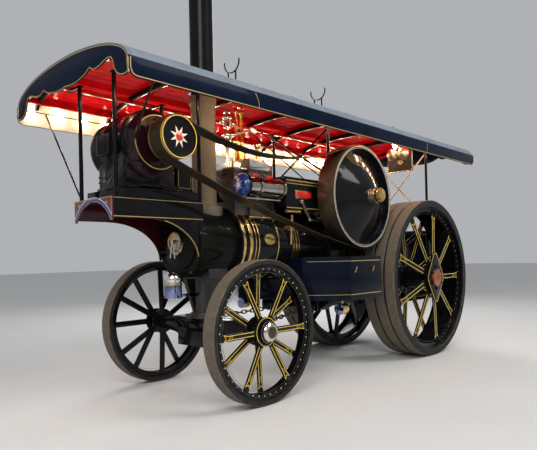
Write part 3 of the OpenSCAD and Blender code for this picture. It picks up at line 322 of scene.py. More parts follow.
def finish(name):
    """The material of that name, made when it is first asked for."""
    if name not in FINISHES:
        paint = bpy.context.scene.engine_paint
        # Each finish: its maker, its colours, and the gloss and coat that the maker takes
        maker, *given = {
            "black_enamel": (enamel, paint.enamel),
            "smokebox_black": (enamel, paint.smoke, 0.22, 0.1, 0.1, 0.0002),
            "navy_enamel": (enamel, paint.navy, 0.20, 0.05, 0.05),
            "tank_enamel": (enamel, shade(paint.navy, 0.6), 0.12, 0.1, 0.12),
            "maroon_enamel": (enamel, paint.maroon, 0.14, 0.1, 0.4),
            "plum_enamel": (enamel, (0.014, 0.004, 0.006), 0.10, 0.0, 0.3),
            "chimney_paint": (enamel, (0.20, 0.18, 0.125), 0.28, 0.0, 0.1, 0.0004),
            "brass": (bright_metal, (0.86, 0.60, 0.22), (0.50, 0.30, 0.09), 0.17),
            "bronze": (bright_metal, (0.62, 0.38, 0.16), (0.30, 0.17, 0.07), 0.24),
            "copper": (bright_metal, (0.72, 0.26, 0.14), (0.34, 0.10, 0.06), 0.2),
            "bright_steel": (bright_metal, (0.62, 0.60, 0.56), (0.30, 0.27, 0.22), 0.24, (1, 8, 1)),
            "polished_steel": (bright_metal, (0.80, 0.79, 0.76), (0.52, 0.48, 0.40), 0.10),
            "flywheel_rim": (bright_metal, (0.17, 0.135, 0.095), (0.09, 0.065, 0.045), 0.4, (1, 40, 1)),
            "dark_chrome": (bright_metal, (0.42, 0.40, 0.36), (0.25, 0.22, 0.17), 0.08),
            # Dark bare metal: worn metal on tacks and rivets; on the wheels' rim edges its bright lines are
            # painted highlights
            "worn_edge": (bright_metal, (0.22, 0.19, 0.15), (0.06, 0.05, 0.04), 0.3),
            "meter_cover": (bright_metal, (0.95, 0.86, 0.62), (0.70, 0.58, 0.36), 0.36),
            # Mirror metal tinted blue: the blue is a painted reflection on the lamps' drums and faces
            "lamp_glass": (bright_metal, (0.27, 0.30, 0.52), (0.16, 0.18, 0.36), 0.06),
            "iron_casting": (casting, (0.022, 0.020, 0.018)),
            "cylinder_paint": (casting, (0.050, 0.038, 0.028), 0.32),
            "slate_brown": (casting, (0.024, 0.017, 0.013), 0.4),
            "front_rubber": (tyre_rubber, "front_tyre_left"),
            "rear_rubber": (tyre_rubber, "rear_tyre_left"),
            "belt_leather": (oiled_belting, (0.009, 0.006, 0.003), (0.034, 0.024, 0.012)),
            "roof_canvas": (painted_canvas, paint.roof),
            "ceiling_red": (boarded, paint.red, 0.11),
            "beam_red": (lacquer, shade(paint.red, 0.7), 0.12, 0.1),
            "cream_paint": (lacquer, paint.cream, 0.16, 0.4),
            "yellow_lining": (lacquer, paint.lining, 0.2, 0.5),
            "gold_lining": (lacquer, paint.gold, 0.22, 0.3),
            "signal_red": (lacquer, (0.55, 0.012, 0.010), 0.1, 0.8),
            "dark_red": (lacquer, (0.10, 0.006, 0.010), 0.1, 0.5),
            "blue_enamel": (lacquer, (0.012, 0.040, 0.20), 0.08, 0.6),
            "pulley_tan": (turned_drum, (0.36, 0.22, 0.06)),
            "lit_bulb": (glowing, (1.0, 0.76, 0.50), 60.0),
        }[name]
        FINISHES[name] = maker(name, *given)
    return FINISHES[name]


# Mesh making

class Shape:
    """Vertices and faces gathered for one mesh, each face with the number of its finish."""

    def __init__(self, verts=(), faces=(), marks=()):
        self.verts, self.faces, self.marks = list(verts), list(faces), list(marks)

    def add(self, verts, faces, mark=0):
        """Adds faces that count their own vertices from 0."""
        base = len(self.verts)
        self.verts += [Vector(v) for v in verts]
        self.faces += [[base + i for i in face] for face in faces]
        self.marks += [mark] * len(faces)

    def placed(self, matrix):
        """This shape moved by a matrix."""
        return Shape([matrix @ v for v in self.verts], self.faces, self.marks)

    def on(self, side):
        """This shape, or its mirror image where the side is the right one."""
        if side == "left":
            return self
        return Shape([Vector((v.x, -v.y, v.z)) for v in self.verts], [face[::-1] for face in self.faces],
                     self.marks)

    def doubled(self):
        """This shape and its mirror image as one."""
        made, other = Shape(self.verts, self.faces), self.on("right")
        made.add(other.verts, other.faces)
        made.marks = self.marks * 2
        return made


def circle(count, start=0.0):
    """Cosine and sine of evenly set angles."""
    return [(cos(start + 2 * pi * k / count), sin(start + 2 * pi * k / count)) for k in range(count)]


def wall(lower, upper, count):
    """The faces between two loops of count vertices, which start at lower and at upper."""
    return [[lower + k, lower + (k + 1) % count, upper + (k + 1) % count, upper + k] for k in range(count)]


def box(shape, low, high):
    """A box from its lowest to its highest corner."""
    corners = [(x, y, z) for x in (low[0], high[0]) for y in (low[1], high[1]) for z in (low[2], high[2])]
    shape.add(corners, [(0, 1, 3, 2), (4, 6, 7, 5), (0, 4, 5, 1), (2, 3, 7, 6), (0, 2, 6, 4), (1, 5, 7, 3)])


def axes(along):
    """Two unit vectors square to a direction, and the direction."""
    w = Vector(along).normalized()
    u = w.orthogonal().normalized() if abs(w.y) < 0.9 else Vector((1.0, 0.0, 0.0))
    u = (u - w * u.dot(w)).normalized()
    return u, w.cross(u), w


def turned(shape, origin, along, profile, sides=48, mark=0):
    """A turned solid: profile is (radius, distance along the axis) from one end of the axis to the other."""
    u, v, w = axes(along)
    verts, rows, faces = [], [], []
    for radius, reach in profile:
        centre = Vector(origin) + w * reach
        round_row = radius > 1e-6
        rows.append(list(range(len(verts), len(verts) + (sides if round_row else 1))))
        verts += [centre + (u * c + v * s) * radius for c, s in circle(sides)] if round_row else [centre]
    for lower, upper in zip(rows, rows[1:]):
        for k in range(sides):
            n = (k + 1) % sides
            corners = [row[i % len(row)] for row, i in ((lower, k), (lower, n), (upper, n), (upper, k))]
            face = list(dict.fromkeys(corners))
            if len(face) > 2:
                faces.append(face)
    if profile[0] == profile[-1]:
        last = rows[-1]
        first = dict(zip(last, rows[0]))
        faces = [[first.get(i, i) for i in face] for face in faces]
        verts = verts[:last[0]]
    shape.add(verts, faces, mark)


def collar(shape, origin, along, outer, inner, start, stop, sides=48):
    """A flat ring or tube round an axis."""
    turned(shape, origin, along,
           [(inner, start), (outer, start), (outer, stop), (inner, stop), (inner, start)], sides)


def disc(shape, origin, along, radius, start, stop, sides):
    """A round plate on an axis."""
    turned(shape, origin, along, [(0, start), (radius, start), (radius, stop), (0, stop)], sides)


def rod(shape, path, radius, sides=10, closed=False):
    """A round bar or pipe along a path, with closed ends."""
    path = [Vector(p) for p in path]
    count = len(path)
    verts, faces = [], []
    across = None
    for k, point in enumerate(path):
        before = path[k - 1] if k or closed else path[k]
        after = path[(k + 1) % count] if k < count - 1 or closed else path[k]
        way = (after - before).normalized()
        across = axes(way)[0] if across is None else (across - way * across.dot(way)).normalized()
        up = way.cross(across)
        verts += [point + (across * c + up * s) * radius for c, s in circle(sides)]
    for k in range(count if closed else count - 1):
        faces += wall(k * sides, ((k + 1) % count) * sides, sides)
    if not closed:
        faces += [list(range(sides))[::-1], list(range((count - 1) * sides, count * sides))]
    shape.add(verts, faces)


LINE_LIFT = 0.0012
LINE_SINK = 0.0010
# Least cosine at the corner of a strip and of an outline, so that a sharp corner doesn't run out far
STRIP_MITRE = 0.4
OUTLINE_MITRE = 0.5


def strip(shape, path, facing, width, lift=LINE_LIFT, closed=False):
    """A painted line or moulding: a thin band on a surface. facing is one normal or one per point."""
    path = [Vector(p) for p in path]
    count = len(path)
    normals = [Vector(f).normalized() for f in (facing if isinstance(facing, list) else [facing] * count)]
    verts, faces = [], []
    for k, point in enumerate(path):
        sides = []
        if k or closed:
            sides.append((point - path[k - 1]).cross(normals[k]).normalized())
        if k < count - 1 or closed:
            sides.append((path[(k + 1) % count] - point).cross(normals[k]).normalized())
        side = sum(sides, Vector()).normalized()
        half = side * (width / 2 / max(STRIP_MITRE, side.dot(sides[0])))
        top, low = normals[k] * lift, -normals[k] * LINE_SINK
        verts += [point - half + low, point + half + low, point + half + top, point - half + top]
    for k in range(count if closed else count - 1):
        faces += wall(4 * k, 4 * ((k + 1) % count), 4)
    if not closed:
        faces += [[3, 2, 1, 0], [4 * count - 4 + s for s in range(4)]]
    shape.add(verts, faces)


def slab(shape, outline, along, start, stop):
    """An outline of points in space, thickened along a direction from start to stop."""
    w = Vector(along).normalized()
    count = len(outline)
    shape.add([Vector(p) + w * reach for reach in (start, stop) for p in outline],
              [list(range(count))[::-1], list(range(count, 2 * count))] + wall(0, count, count))


def ring_points(centre, along, radius, count, start=0.0):
    """Points round an axis, from the angle start."""
    u, v, _ = axes(along)
    return [Vector(centre) + (u * c + v * s) * radius for c, s in circle(count, start)]


def ring(shape, centre, along, radius, width, count, lift=LINE_LIFT):
    """A painted line round an axis."""
    strip(shape, ring_points(centre, along, radius, count), along, width, lift, closed=True)


def row_points(start, stop, pitch):
    """Evenly set points from start to stop, both kept."""
    start, stop = Vector(start), Vector(stop)
    count = max(1, round((stop - start).length / pitch))
    return [start.lerp(stop, k / count) for k in range(count + 1)]


# Degrees between two faces from which their edge is rounded, and from which it is shaded as sharp
ROUNDED_FROM = 34.0
SHARP_FROM = 35.0


def close_mesh(mesh, work, edge, angle=SHARP_FROM):
    """Writes an open bmesh to the mesh, its sharp edges rounded, with smooth curves and sharp corners."""
    if edge > 0:
        sharp = [e for e in work.edges
                 if len(e.link_faces) == 2 and e.calc_face_angle(0.0) > radians(ROUNDED_FROM)]
        bmesh.ops.bevel(work, geom=sharp, offset=edge, segments=2, affect="EDGES", profile=0.6,
                        clamp_overlap=True)
    work.to_mesh(mesh)
    work.free()
    mesh.shade_smooth()
    mesh.set_sharp_from_angle(angle=radians(angle))
    return mesh


def to_mesh(name, shape, edge=0.0, angle=SHARP_FROM):
    """A mesh of the shape, faces outwards."""
    mesh = bpy.data.meshes.new(name)
    mesh.from_pydata([tuple(v) for v in shape.verts], [], shape.faces)
    mesh.polygons.foreach_set("material_index", shape.marks)
    work = bmesh.new()
    work.from_mesh(mesh)
    bmesh.ops.recalc_face_normals(work, faces=work.faces)
    return close_mesh(mesh, work, edge, angle)


def piece(name, mesh, body, keys):
    """Links a mesh as a named piece on a body, with its finishes."""
    made = bpy.data.objects.new(name, mesh)
    bpy.context.collection.objects.link(made)
    marks = [0] * len(mesh.polygons)
    mesh.polygons.foreach_get("material_index", marks)
    mesh.materials.clear()
    for key in keys:
        mesh.materials.append(finish(key))
    mesh.polygons.foreach_set("material_index", marks)
    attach(made, body)
    return made


def fit(name, shape, slot, *keys, body="root", edge=0.0, angle=SHARP_FROM):
    """A shape as a named piece."""
    piece(name, to_mesh(name, shape, edge, angle), body, keys)


def fit_sides(name, shape, slot, *keys, end=None, edge=0.0):
    """A shape as a piece on each side, or on each wheel of the end, the right one mirrored."""
    for side in SIDES:
        fit(f"{name}_{side}", shape.on(side), slot, *keys, body=f"{end}_wheel_{side}" if end else "root",
            edge=edge)


NODE_BODIES = {
    "smokebox_door": "smokebox_door",
    "fire_door": "fire_door",
    "crankshaft": "crank",
    "flywheel": "crank",
    "flywheel_hub": "crank",
    "dynamo_pulley": "dynamo_rotor",
    "front_axle": "front_axle",
    **{f"{end}_{part}_{side}": f"{end}_wheel_{side}"
       for end in ("front", "rear") for part in ("tyre", "wheel", "hub") for side in SIDES},
}


# Metres within which a node's vertices become one, and degrees within which its faces do
WELD = 2e-5
FLAT_WITHIN = 0.5


def cleaned(name, rule=None, cuts=()):
    """An open bmesh of a CAD node with flat faces made whole.

    rule(face centre, face normal) gives the number of the finish for a face; cuts are heights at which
    faces are split first.
    """
    work = bmesh.new()
    work.from_mesh(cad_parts[name].data)
    bmesh.ops.remove_doubles(work, verts=work.verts, dist=WELD)
    for height in cuts:
        bmesh.ops.bisect_plane(work, geom=work.verts[:] + work.edges[:] + work.faces[:],
                               plane_co=(0.0, 0.0, height), plane_no=(0.0, 0.0, 1.0))
    for face in work.faces:
        face.material_index = int(rule(face.calc_center_median(), face.normal)) if rule else 0
    bmesh.ops.dissolve_limit(work, angle_limit=radians(FLAT_WITHIN), verts=work.verts, edges=work.edges,
                             delimit={"MATERIAL"})
    return work


def dressed(name, slot, *keys, edge=None, rule=None, cuts=()):
    """A cleaned copy of a CAD node with rounded edges, in place of the node."""
    edge = sizes().edge if edge is None else edge
    mesh = close_mesh(bpy.data.meshes.new(name), cleaned(name, rule, cuts), edge)
    made = piece(f"{name}_dressed", mesh, NODE_BODIES.get(name, "root"), keys)
    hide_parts(name)


def outline(name, facing, inset):
    """The edge of a node's outermost large flat face with that facing, drawn in by inset."""
    work = cleaned(name)
    flat = [f for f in work.faces if f.normal.dot(facing) > 0.999]
    large = 0.9 * max(f.calc_area() for f in flat)
    face = max((f for f in flat if f.calc_area() > large), key=lambda f: f.calc_center_median().dot(facing))
    loop = [v.co.copy() for v in face.verts]
    work.free()
    made = []
    for before, point, after in zip(loop[-1:] + loop, loop, loop[1:] + loop[:1]):
        one, two = facing.cross((point - before).normalized()), facing.cross((after - point).normalized())
        corner = (one + two).normalized()
        made.append(point + corner * (inset / max(OUTLINE_MITRE, corner.dot(one))))
    return made


# Geometry Nodes

def open_tree(name, first, sockets):
    """A tree whose inputs are a geometry, the sockets (name, type, default) and a finish; and its inputs."""
    tree = bpy.data.node_groups.new(name, "GeometryNodeTree")
    tree.interface.new_socket(first, in_out="INPUT", socket_type="NodeSocketGeometry")
    for label, kind, value in sockets:
        tree.interface.new_socket(label, in_out="INPUT", socket_type=kind).default_value = value
    tree.interface.new_socket("Finish", in_out="INPUT", socket_type="NodeSocketMaterial")
    tree.interface.new_socket("Result", in_out="OUTPUT", socket_type="NodeSocketGeometry")
    return tree, tree.nodes.new("NodeGroupInput").outputs


def close_tree(tree, points, item, turn, material):
    """Stands the turned item on the points, makes it real and sets its finish."""
    stood = node(tree, "GeometryNodeInstanceOnPoints", {
        "Points": points, "Instance": item, "Rotation": turn.outputs["Rotation"]})
    real = node(tree, "GeometryNodeRealizeInstances", {"Geometry": stood.outputs["Instances"]})
    last = node(tree, "GeometryNodeSetMaterial", {"Geometry": real.outputs["Geometry"], "Material": material})
    node(tree, "NodeGroupOutput", {"Result": last.outputs["Geometry"]})
    return tree


def scaled(tree, geometry, radius, tall=1.0, lift=0.0):
    """The geometry scaled by the radius, with its height and its lift as shares of it."""
    size, place = [node(tree, "ShaderNodeVectorMath", {0: share, "Scale": radius}, operation="SCALE")
                   for share in ((1.0, 1.0, tall), (0.0, 0.0, lift))]
    return node(tree, "GeometryNodeTransform", {
        "Geometry": geometry, "Translation": place.outputs["Vector"],
        "Scale": size.outputs["Vector"]}).outputs["Geometry"]


def ball_item(tree, radius, segments, rings, tall, lift):
    """A smooth ball drawn out to a height: a rivet's head, or a bulb that hangs from its point."""
    ball = node(tree, "GeometryNodeMeshUVSphere", {"Segments": segments, "Rings": rings, "Radius": 1.0})
    smooth = node(tree, "GeometryNodeSetShadeSmooth", {"Geometry": ball.outputs["Mesh"]}).outputs["Geometry"]
    return scaled(tree, smooth, radius, tall, lift)


def nut_item(tree, radius):
    """A six-sided nut on a washer with the stud's end."""
    parts = tree.nodes.new("GeometryNodeJoinGeometry")
    for sides, wide, high, lift in ((16, 1.25, 0.22, 0.11), (6, 1.0, 0.8, 0.6), (10, 0.5, 0.5, 1.2)):
        drum = node(tree, "GeometryNodeMeshCylinder", {"Vertices": sides, "Radius": wide, "Depth": high})
        item = node(tree, "GeometryNodeTransform", {
            "Geometry": drum.outputs["Mesh"], "Translation": (0.0, 0.0, lift)}).outputs["Geometry"]
        tree.links.new(item, parts.inputs[0])
    return scaled(tree, parts.outputs["Geometry"], radius)


def socket_item(tree, radius):
    """The brass cap that holds a bulb."""
    cap = node(tree, "GeometryNodeMeshCone", {
        "Vertices": 14, "Radius Top": 0.52, "Radius Bottom": 0.72, "Depth": 0.9}).outputs["Mesh"]
    return scaled(tree, cap, radius)


ITEMS = {
    "rivets": lambda tree, radius: ball_item(tree, radius, 10, 6, 0.62, 0.0),
    "bulbs": lambda tree, radius: ball_item(tree, radius, 14, 10, 1.35, 1.9),
    "nuts": nut_item,
    "sockets": socket_item,
}


def scatter_tree(kind):
    """A tree that stands one item on every point, its Z along the point's facing attribute."""
    tree, given = open_tree(f"Stand {kind} on points", "Points", [("Radius", "NodeSocketFloat", 0.01)])
    facing = node(tree, "GeometryNodeInputNamedAttribute", {"Name": "facing"}, data_type="FLOAT_VECTOR")
    turn = node(tree, "FunctionNodeAlignRotationToVector", {"Vector": facing.outputs["Attribute"]}, axis="Z")
    return close_tree(tree, given["Points"], ITEMS[kind](tree, given["Radius"]), turn, given["Finish"])


def around_tree():
    """A tree that repeats a mesh evenly round an axis through a centre."""
    tree, given = open_tree("Repeat round an axis", "Item", [
        ("Count", "NodeSocketInt", 6), ("Centre", "NodeSocketVector", (0.0, 0.0, 0.0)),
        ("Axis", "NodeSocketVector", (0.0, 1.0, 0.0))])
    back = node(tree, "ShaderNodeVectorMath", {0: given["Centre"], "Scale": -1.0}, operation="SCALE")
    item = node(tree, "GeometryNodeTransform", {
        "Geometry": given["Item"], "Translation": back.outputs["Vector"]}).outputs["Geometry"]
    points = node(tree, "GeometryNodePoints", {"Count": given["Count"], "Position": given["Centre"]})
    index = tree.nodes.new("GeometryNodeInputIndex").outputs["Index"]
    share = node(tree, "ShaderNodeMath", {0: index, 1: given["Count"]}, operation="DIVIDE").outputs[0]
    angle = node(tree, "ShaderNodeMath", {0: share, 1: 2 * pi}, operation="MULTIPLY").outputs[0]
    turn = node(tree, "FunctionNodeAxisAngleToRotation", {"Axis": given["Axis"], "Angle": angle})
    return close_tree(tree, points.outputs["Points"], item, turn, given["Finish"])


TREES = {}


def pattern(name, kind, mesh, values):
    """Runs the tree of a kind over a mesh and returns the result as a plain mesh."""
    if kind not in TREES:
        TREES[kind] = around_tree() if kind == "around" else scatter_tree(kind)
    host = bpy.data.objects.new(name, mesh)
    bpy.context.collection.objects.link(host)
    modifier = host.modifiers.new("Pattern", "NODES")
    modifier.node_group = TREES[kind]
    for item in TREES[kind].interface.items_tree:
        if item.item_type == "SOCKET" and item.in_out == "INPUT" and item.name in values:
            modifier[item.identifier] = values[item.name]
    graph = bpy.context.evaluated_depsgraph_get()
    made = bpy.data.meshes.new_from_object(host.evaluated_get(graph))
    bpy.data.objects.remove(host)
    made.name = name
    return made


def stand(name, kind, spots, radius, key, body="root"):
    """Rivets, nuts or bulbs on spots, each a (point, facing) pair, as one piece."""
    mesh = bpy.data.meshes.new(name)
    mesh.from_pydata([tuple(p) for p, _ in spots], [], [])
    facing = mesh.attributes.new("facing", "FLOAT_VECTOR", "POINT")
    facing.data.foreach_set("vector", [c for _, f in spots for c in Vector(f).normalized()])
    piece(name, pattern(name, kind, mesh, {"Radius": radius, "Finish": finish(key)}), body, [key])


def around(name, shape, centre, count, key, body):
    """The shape repeated round an axis along Y through centre, as one piece."""
    made = pattern(name, "around", to_mesh(name, shape), {
        "Count": count, "Centre": tuple(centre), "Axis": (0.0, 1.0, 0.0), "Finish": finish(key)})
    piece(name, made, body, [key])


def mirrored(spots):
    """The mirror images of spots on the other side."""
    return [(Vector((p[0], -p[1], p[2])), Vector((f[0], -f[1], f[2]))) for p, f in spots]


# Boiler, smokebox and chimney

def barrel_spot(x, angle, out=0.0, radius=BARREL_R):
    """A point off a cylinder round the boiler's axis and its facing; angle 0 is on top, 90 on the left."""
    a = radians(angle)
    facing = Vector((0.0, -sin(a), cos(a)))
    return Vector((x, 0.0, BOILER_Z)) + facing * (radius + out), facing


class ENGINE_OT_boiler(bpy.types.Operator):
    """Smokebox, barrel, firebox, hornplates and chimney with their rivets and brass"""
    bl_idname = "engine.boiler"
    bl_label = "Boiler"

    def execute(self, context):
        dressed("smokebox", "smoke_black", "smokebox_black")
        for name in ("boiler", "firebox", "hornplates"):
            dressed(name, "engine_black", "black_enamel")
        dressed("boiler_bands", "brass", "brass", edge=0.0008)
        dressed("fire_door", "cast", "iron_casting")
        roof = BOARD_HIGH[2] - 0.03
        dressed("chimney", "smoke_black", "chimney_paint", "smokebox_black",
                rule=lambda at, facing: at.z > roof, cuts=[roof])
        self.door()
        self.rivets()
        self.oval_plate()
        self.handrail()
        self.feed_valve()
        return {"FINISHED"}

    def door(self):
        """The dished door with its bronze ring and the two bright handles."""
        reach, ring_z, ring_in, ring_out, ring_foot = 0.056, BOILER_Z + 0.02, 0.080, 0.110, 0.103
        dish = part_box("smokebox_door")[0][0] + reach

        def rule(at, facing):
            """Black dish, bronze ring and bright handles."""
            if at.x > dish:
                return 0
            on_ring = ring_in < hypot(at.y, at.z - ring_z) < ring_out
            return 1 if on_ring and at.z > ring_z - ring_foot else 2
        dressed("smokebox_door", "smoke_black", "smokebox_black", "bronze", "bright_steel", edge=0.001,
                rule=rule)

    def rivets(self):
        """Rivet rings on the smokebox and rows on the hornplates."""
        count = 48
        spots = [barrel_spot(x, 360 * k / count, 0.0, SMOKE_R)
                 for x in (SMOKE_FACE + 0.028, SMOKE_BACK - 0.030) for k in range(count)]
        stand("smokebox_rivets", "rivets", spots, sizes().rivet, "smokebox_black")
        # Ends of each row: x and z
        rows = (((0.11, 1.57), (1.50, 1.57)), ((1.30, 0.86), (1.30, 1.50)), ((0.42, 0.80), (1.30, 0.80)),
                ((0.42, 0.92), (0.42, 1.50)))
        spots = [(p, OUT) for (x0, z0), (x1, z1) in rows
                 for p in row_points((x0, HORN_FACE, z0), (x1, HORN_FACE, z1), 0.062)]
        stand("hornplate_rivets", "rivets", spots + mirrored(spots), sizes().rivet,
              "black_enamel")

    def oval_plate(self):
        """The blank oval plate on the barrel's left."""
        x, angle, half, sweep, count = -0.983, 84.0, 0.088, 8.6, 40
        rim = [barrel_spot(x + half * c, angle + sweep * s) for c, s in circle(count)]
        plate = Shape()
        plate.add([p + f * 0.006 for p, f in rim] + [p - f * 0.002 for p, f in rim]
                  + [barrel_spot(x, angle, 0.006)[0]],
                  [[k, (k + 1) % count, 2 * count] for k in range(count)] + wall(0, count, count)
                  + [list(range(count, 2 * count))])
        fit("oval_plate", plate, "brass", "brass", edge=0.001)

    def handrail(self):
        """Brass rail on short pillars along the barrel's shoulder, on both sides."""
        rail, angle = Shape(), 49.0
        rod(rail, [barrel_spot(x, angle, 0.038)[0] for x in (-1.235, -0.790)], 0.009, 12)
        for x in (-1.205, -1.010, -0.820):
            turned(rail, *barrel_spot(x, angle),
                   [(0, -0.004), (0.018, -0.004), (0.018, 0.006), (0.007, 0.010), (0.006, 0.024),
                    (0.015, 0.030), (0.017, 0.038), (0.014, 0.047), (0, 0.052)], 16)
        fit("barrel_handrail", rail.doubled(), "brass", "brass")

    def feed_valve(self):
        """Brass feed valve with its hand wheel and delivery pipe, and the small try cock behind it."""
        body, wheel, x = Shape(), Shape(), -0.655
        foot, facing = barrel_spot(x, 63.0)
        turned(body, foot, facing,
               [(0, -0.006), (0.042, -0.006), (0.042, 0.010), (0.024, 0.014), (0.022, 0.030), (0.036, 0.040),
                (0.038, 0.060), (0.022, 0.076), (0.016, 0.100), (0, 0.102)], 24)
        up = Vector((0.0, facing.z, facing.y))
        centre = foot + facing * 0.050
        rod(body, [centre, centre - up * 0.090, centre - up * 0.150 - facing * 0.030,
                   barrel_spot(x, 92.0, 0.018)[0]], 0.015, 12)
        rod(body, [centre, centre + BACK * 0.085], 0.013, 12)
        turned(body, centre + BACK * 0.050, BACK,
               [(0, 0), (0.026, 0), (0.026, 0.012), (0.014, 0.016), (0.018, 0.044), (0, 0.046)], 12)
        hub = foot + facing * 0.098
        rim = ring_points(hub, facing, 0.034, 20)
        rod(wheel, rim, 0.006, 8, closed=True)
        for point in rim[::5]:
            rod(wheel, [hub, point], 0.004, 6)
        cock, facing = barrel_spot(-0.376, 74.0)
        turned(wheel, cock, facing, [(0, -0.004), (0.016, -0.004), (0.016, 0.012), (0.010, 0.016),
                                     (0.010, 0.034), (0, 0.036)], 12)
        rod(wheel, [cock + facing * 0.024, barrel_spot(-0.231, 76.5, 0.024)[0]], 0.008)
        fit("feed_valve", body, "brass", "brass")
        fit("feed_wheel", wheel, "steel", "polished_steel")


# Wheels

class Wheel:
    """Places on a left-hand wheel: face is its outer side, depth runs inwards from it."""

    def __init__(self, end):
        self.end = end
        self.centre = middle(f"{end}_tyre_left")
        self.radius = radius_of(f"{end}_tyre_left")
        self.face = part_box(f"{end}_tyre_left")[0][1]

    def hub(self, depth):
        """The axis at a depth."""
        return Vector((self.centre.x, self.face + depth, self.centre.z))

    def rings(self, name, places, width, lift, slot, key):
        """Thin round lines, each at a (radius, depth): painted lining on the hub, and on the rim's edges
        bright lines that are painted highlights.
        """
        shape = Shape()
        for radius, depth in places:
            ring(shape, self.hub(depth), OUT, radius, width, 96, lift)
        fit_sides(f"{self.end}_{name}", shape, slot, key, end=self.end)

    def fittings(self, rings):
        """Nuts or rivets in rings: kind, radius, depth, count, start angle, size, finish."""
        for number, (kind, radius, depth, count, start, size, key) in enumerate(rings, 1):
            spots = [(self.hub(depth) + Vector((c, 0.0, s)) * radius, OUT)
                     for c, s in circle(count, radians(start))]
            for side in SIDES:
                placed = spots if side == "left" else mirrored(spots)
                stand(f"{self.end}_{kind}_{side}_{number}", kind, placed, size, key,
                      f"{self.end}_wheel_{side}")

    def lining(self, count, sets, half, width):
        """Lining on sets of count spokes: the (radius, depth) of its root and its tip, and the set's turn."""
        centre = Vector((self.centre.x, 0.0, self.centre.z))
        for number, (root, tip, turn) in enumerate(sets, 1):
            spin = Matrix.Translation(self.centre) @ Matrix.Rotation(radians(turn), 4, "Y") \
                @ Matrix.Translation(-self.centre)
            shape = self.spoke_lines(root, tip, half, width).placed(spin)
            for side in SIDES:
                around(f"{self.end}_lining_{side}_{number}", shape.on(side), centre, count,
                       "yellow_lining", f"{self.end}_wheel_{side}")

    def spoke_lines(self, root, tip, half, width):
        """Lining of the spoke along +X: two lines that end in a swallow tail, crossed near the rim."""
        def on(share, across):
            """A point at a share of the way from root to tip, so far across the spoke."""
            radius, depth = [a + (b - a) * share for a, b in zip(root, tip)]
            return self.hub(depth) + Vector((radius, 0.0, across))
        facing = Vector((tip[1] - root[1], root[0] - tip[0], 0.0)).normalized()
        shape, tail = Shape(), half * 1.7
        for side in (-1, 1):
            strip(shape, [on(0.0, side * half), on(0.86, side * half), on(1.0, side * tail)], facing, width)
            strip(shape, [on(1.0, side * tail), on(0.93, 0.0)], facing, width * 0.8)
        for share in (0.70, 0.75, 0.80):
            strip(shape, [on(share, -half), on(share + 0.045, half)], facing, width * 0.45, 0.0008)
        return shape


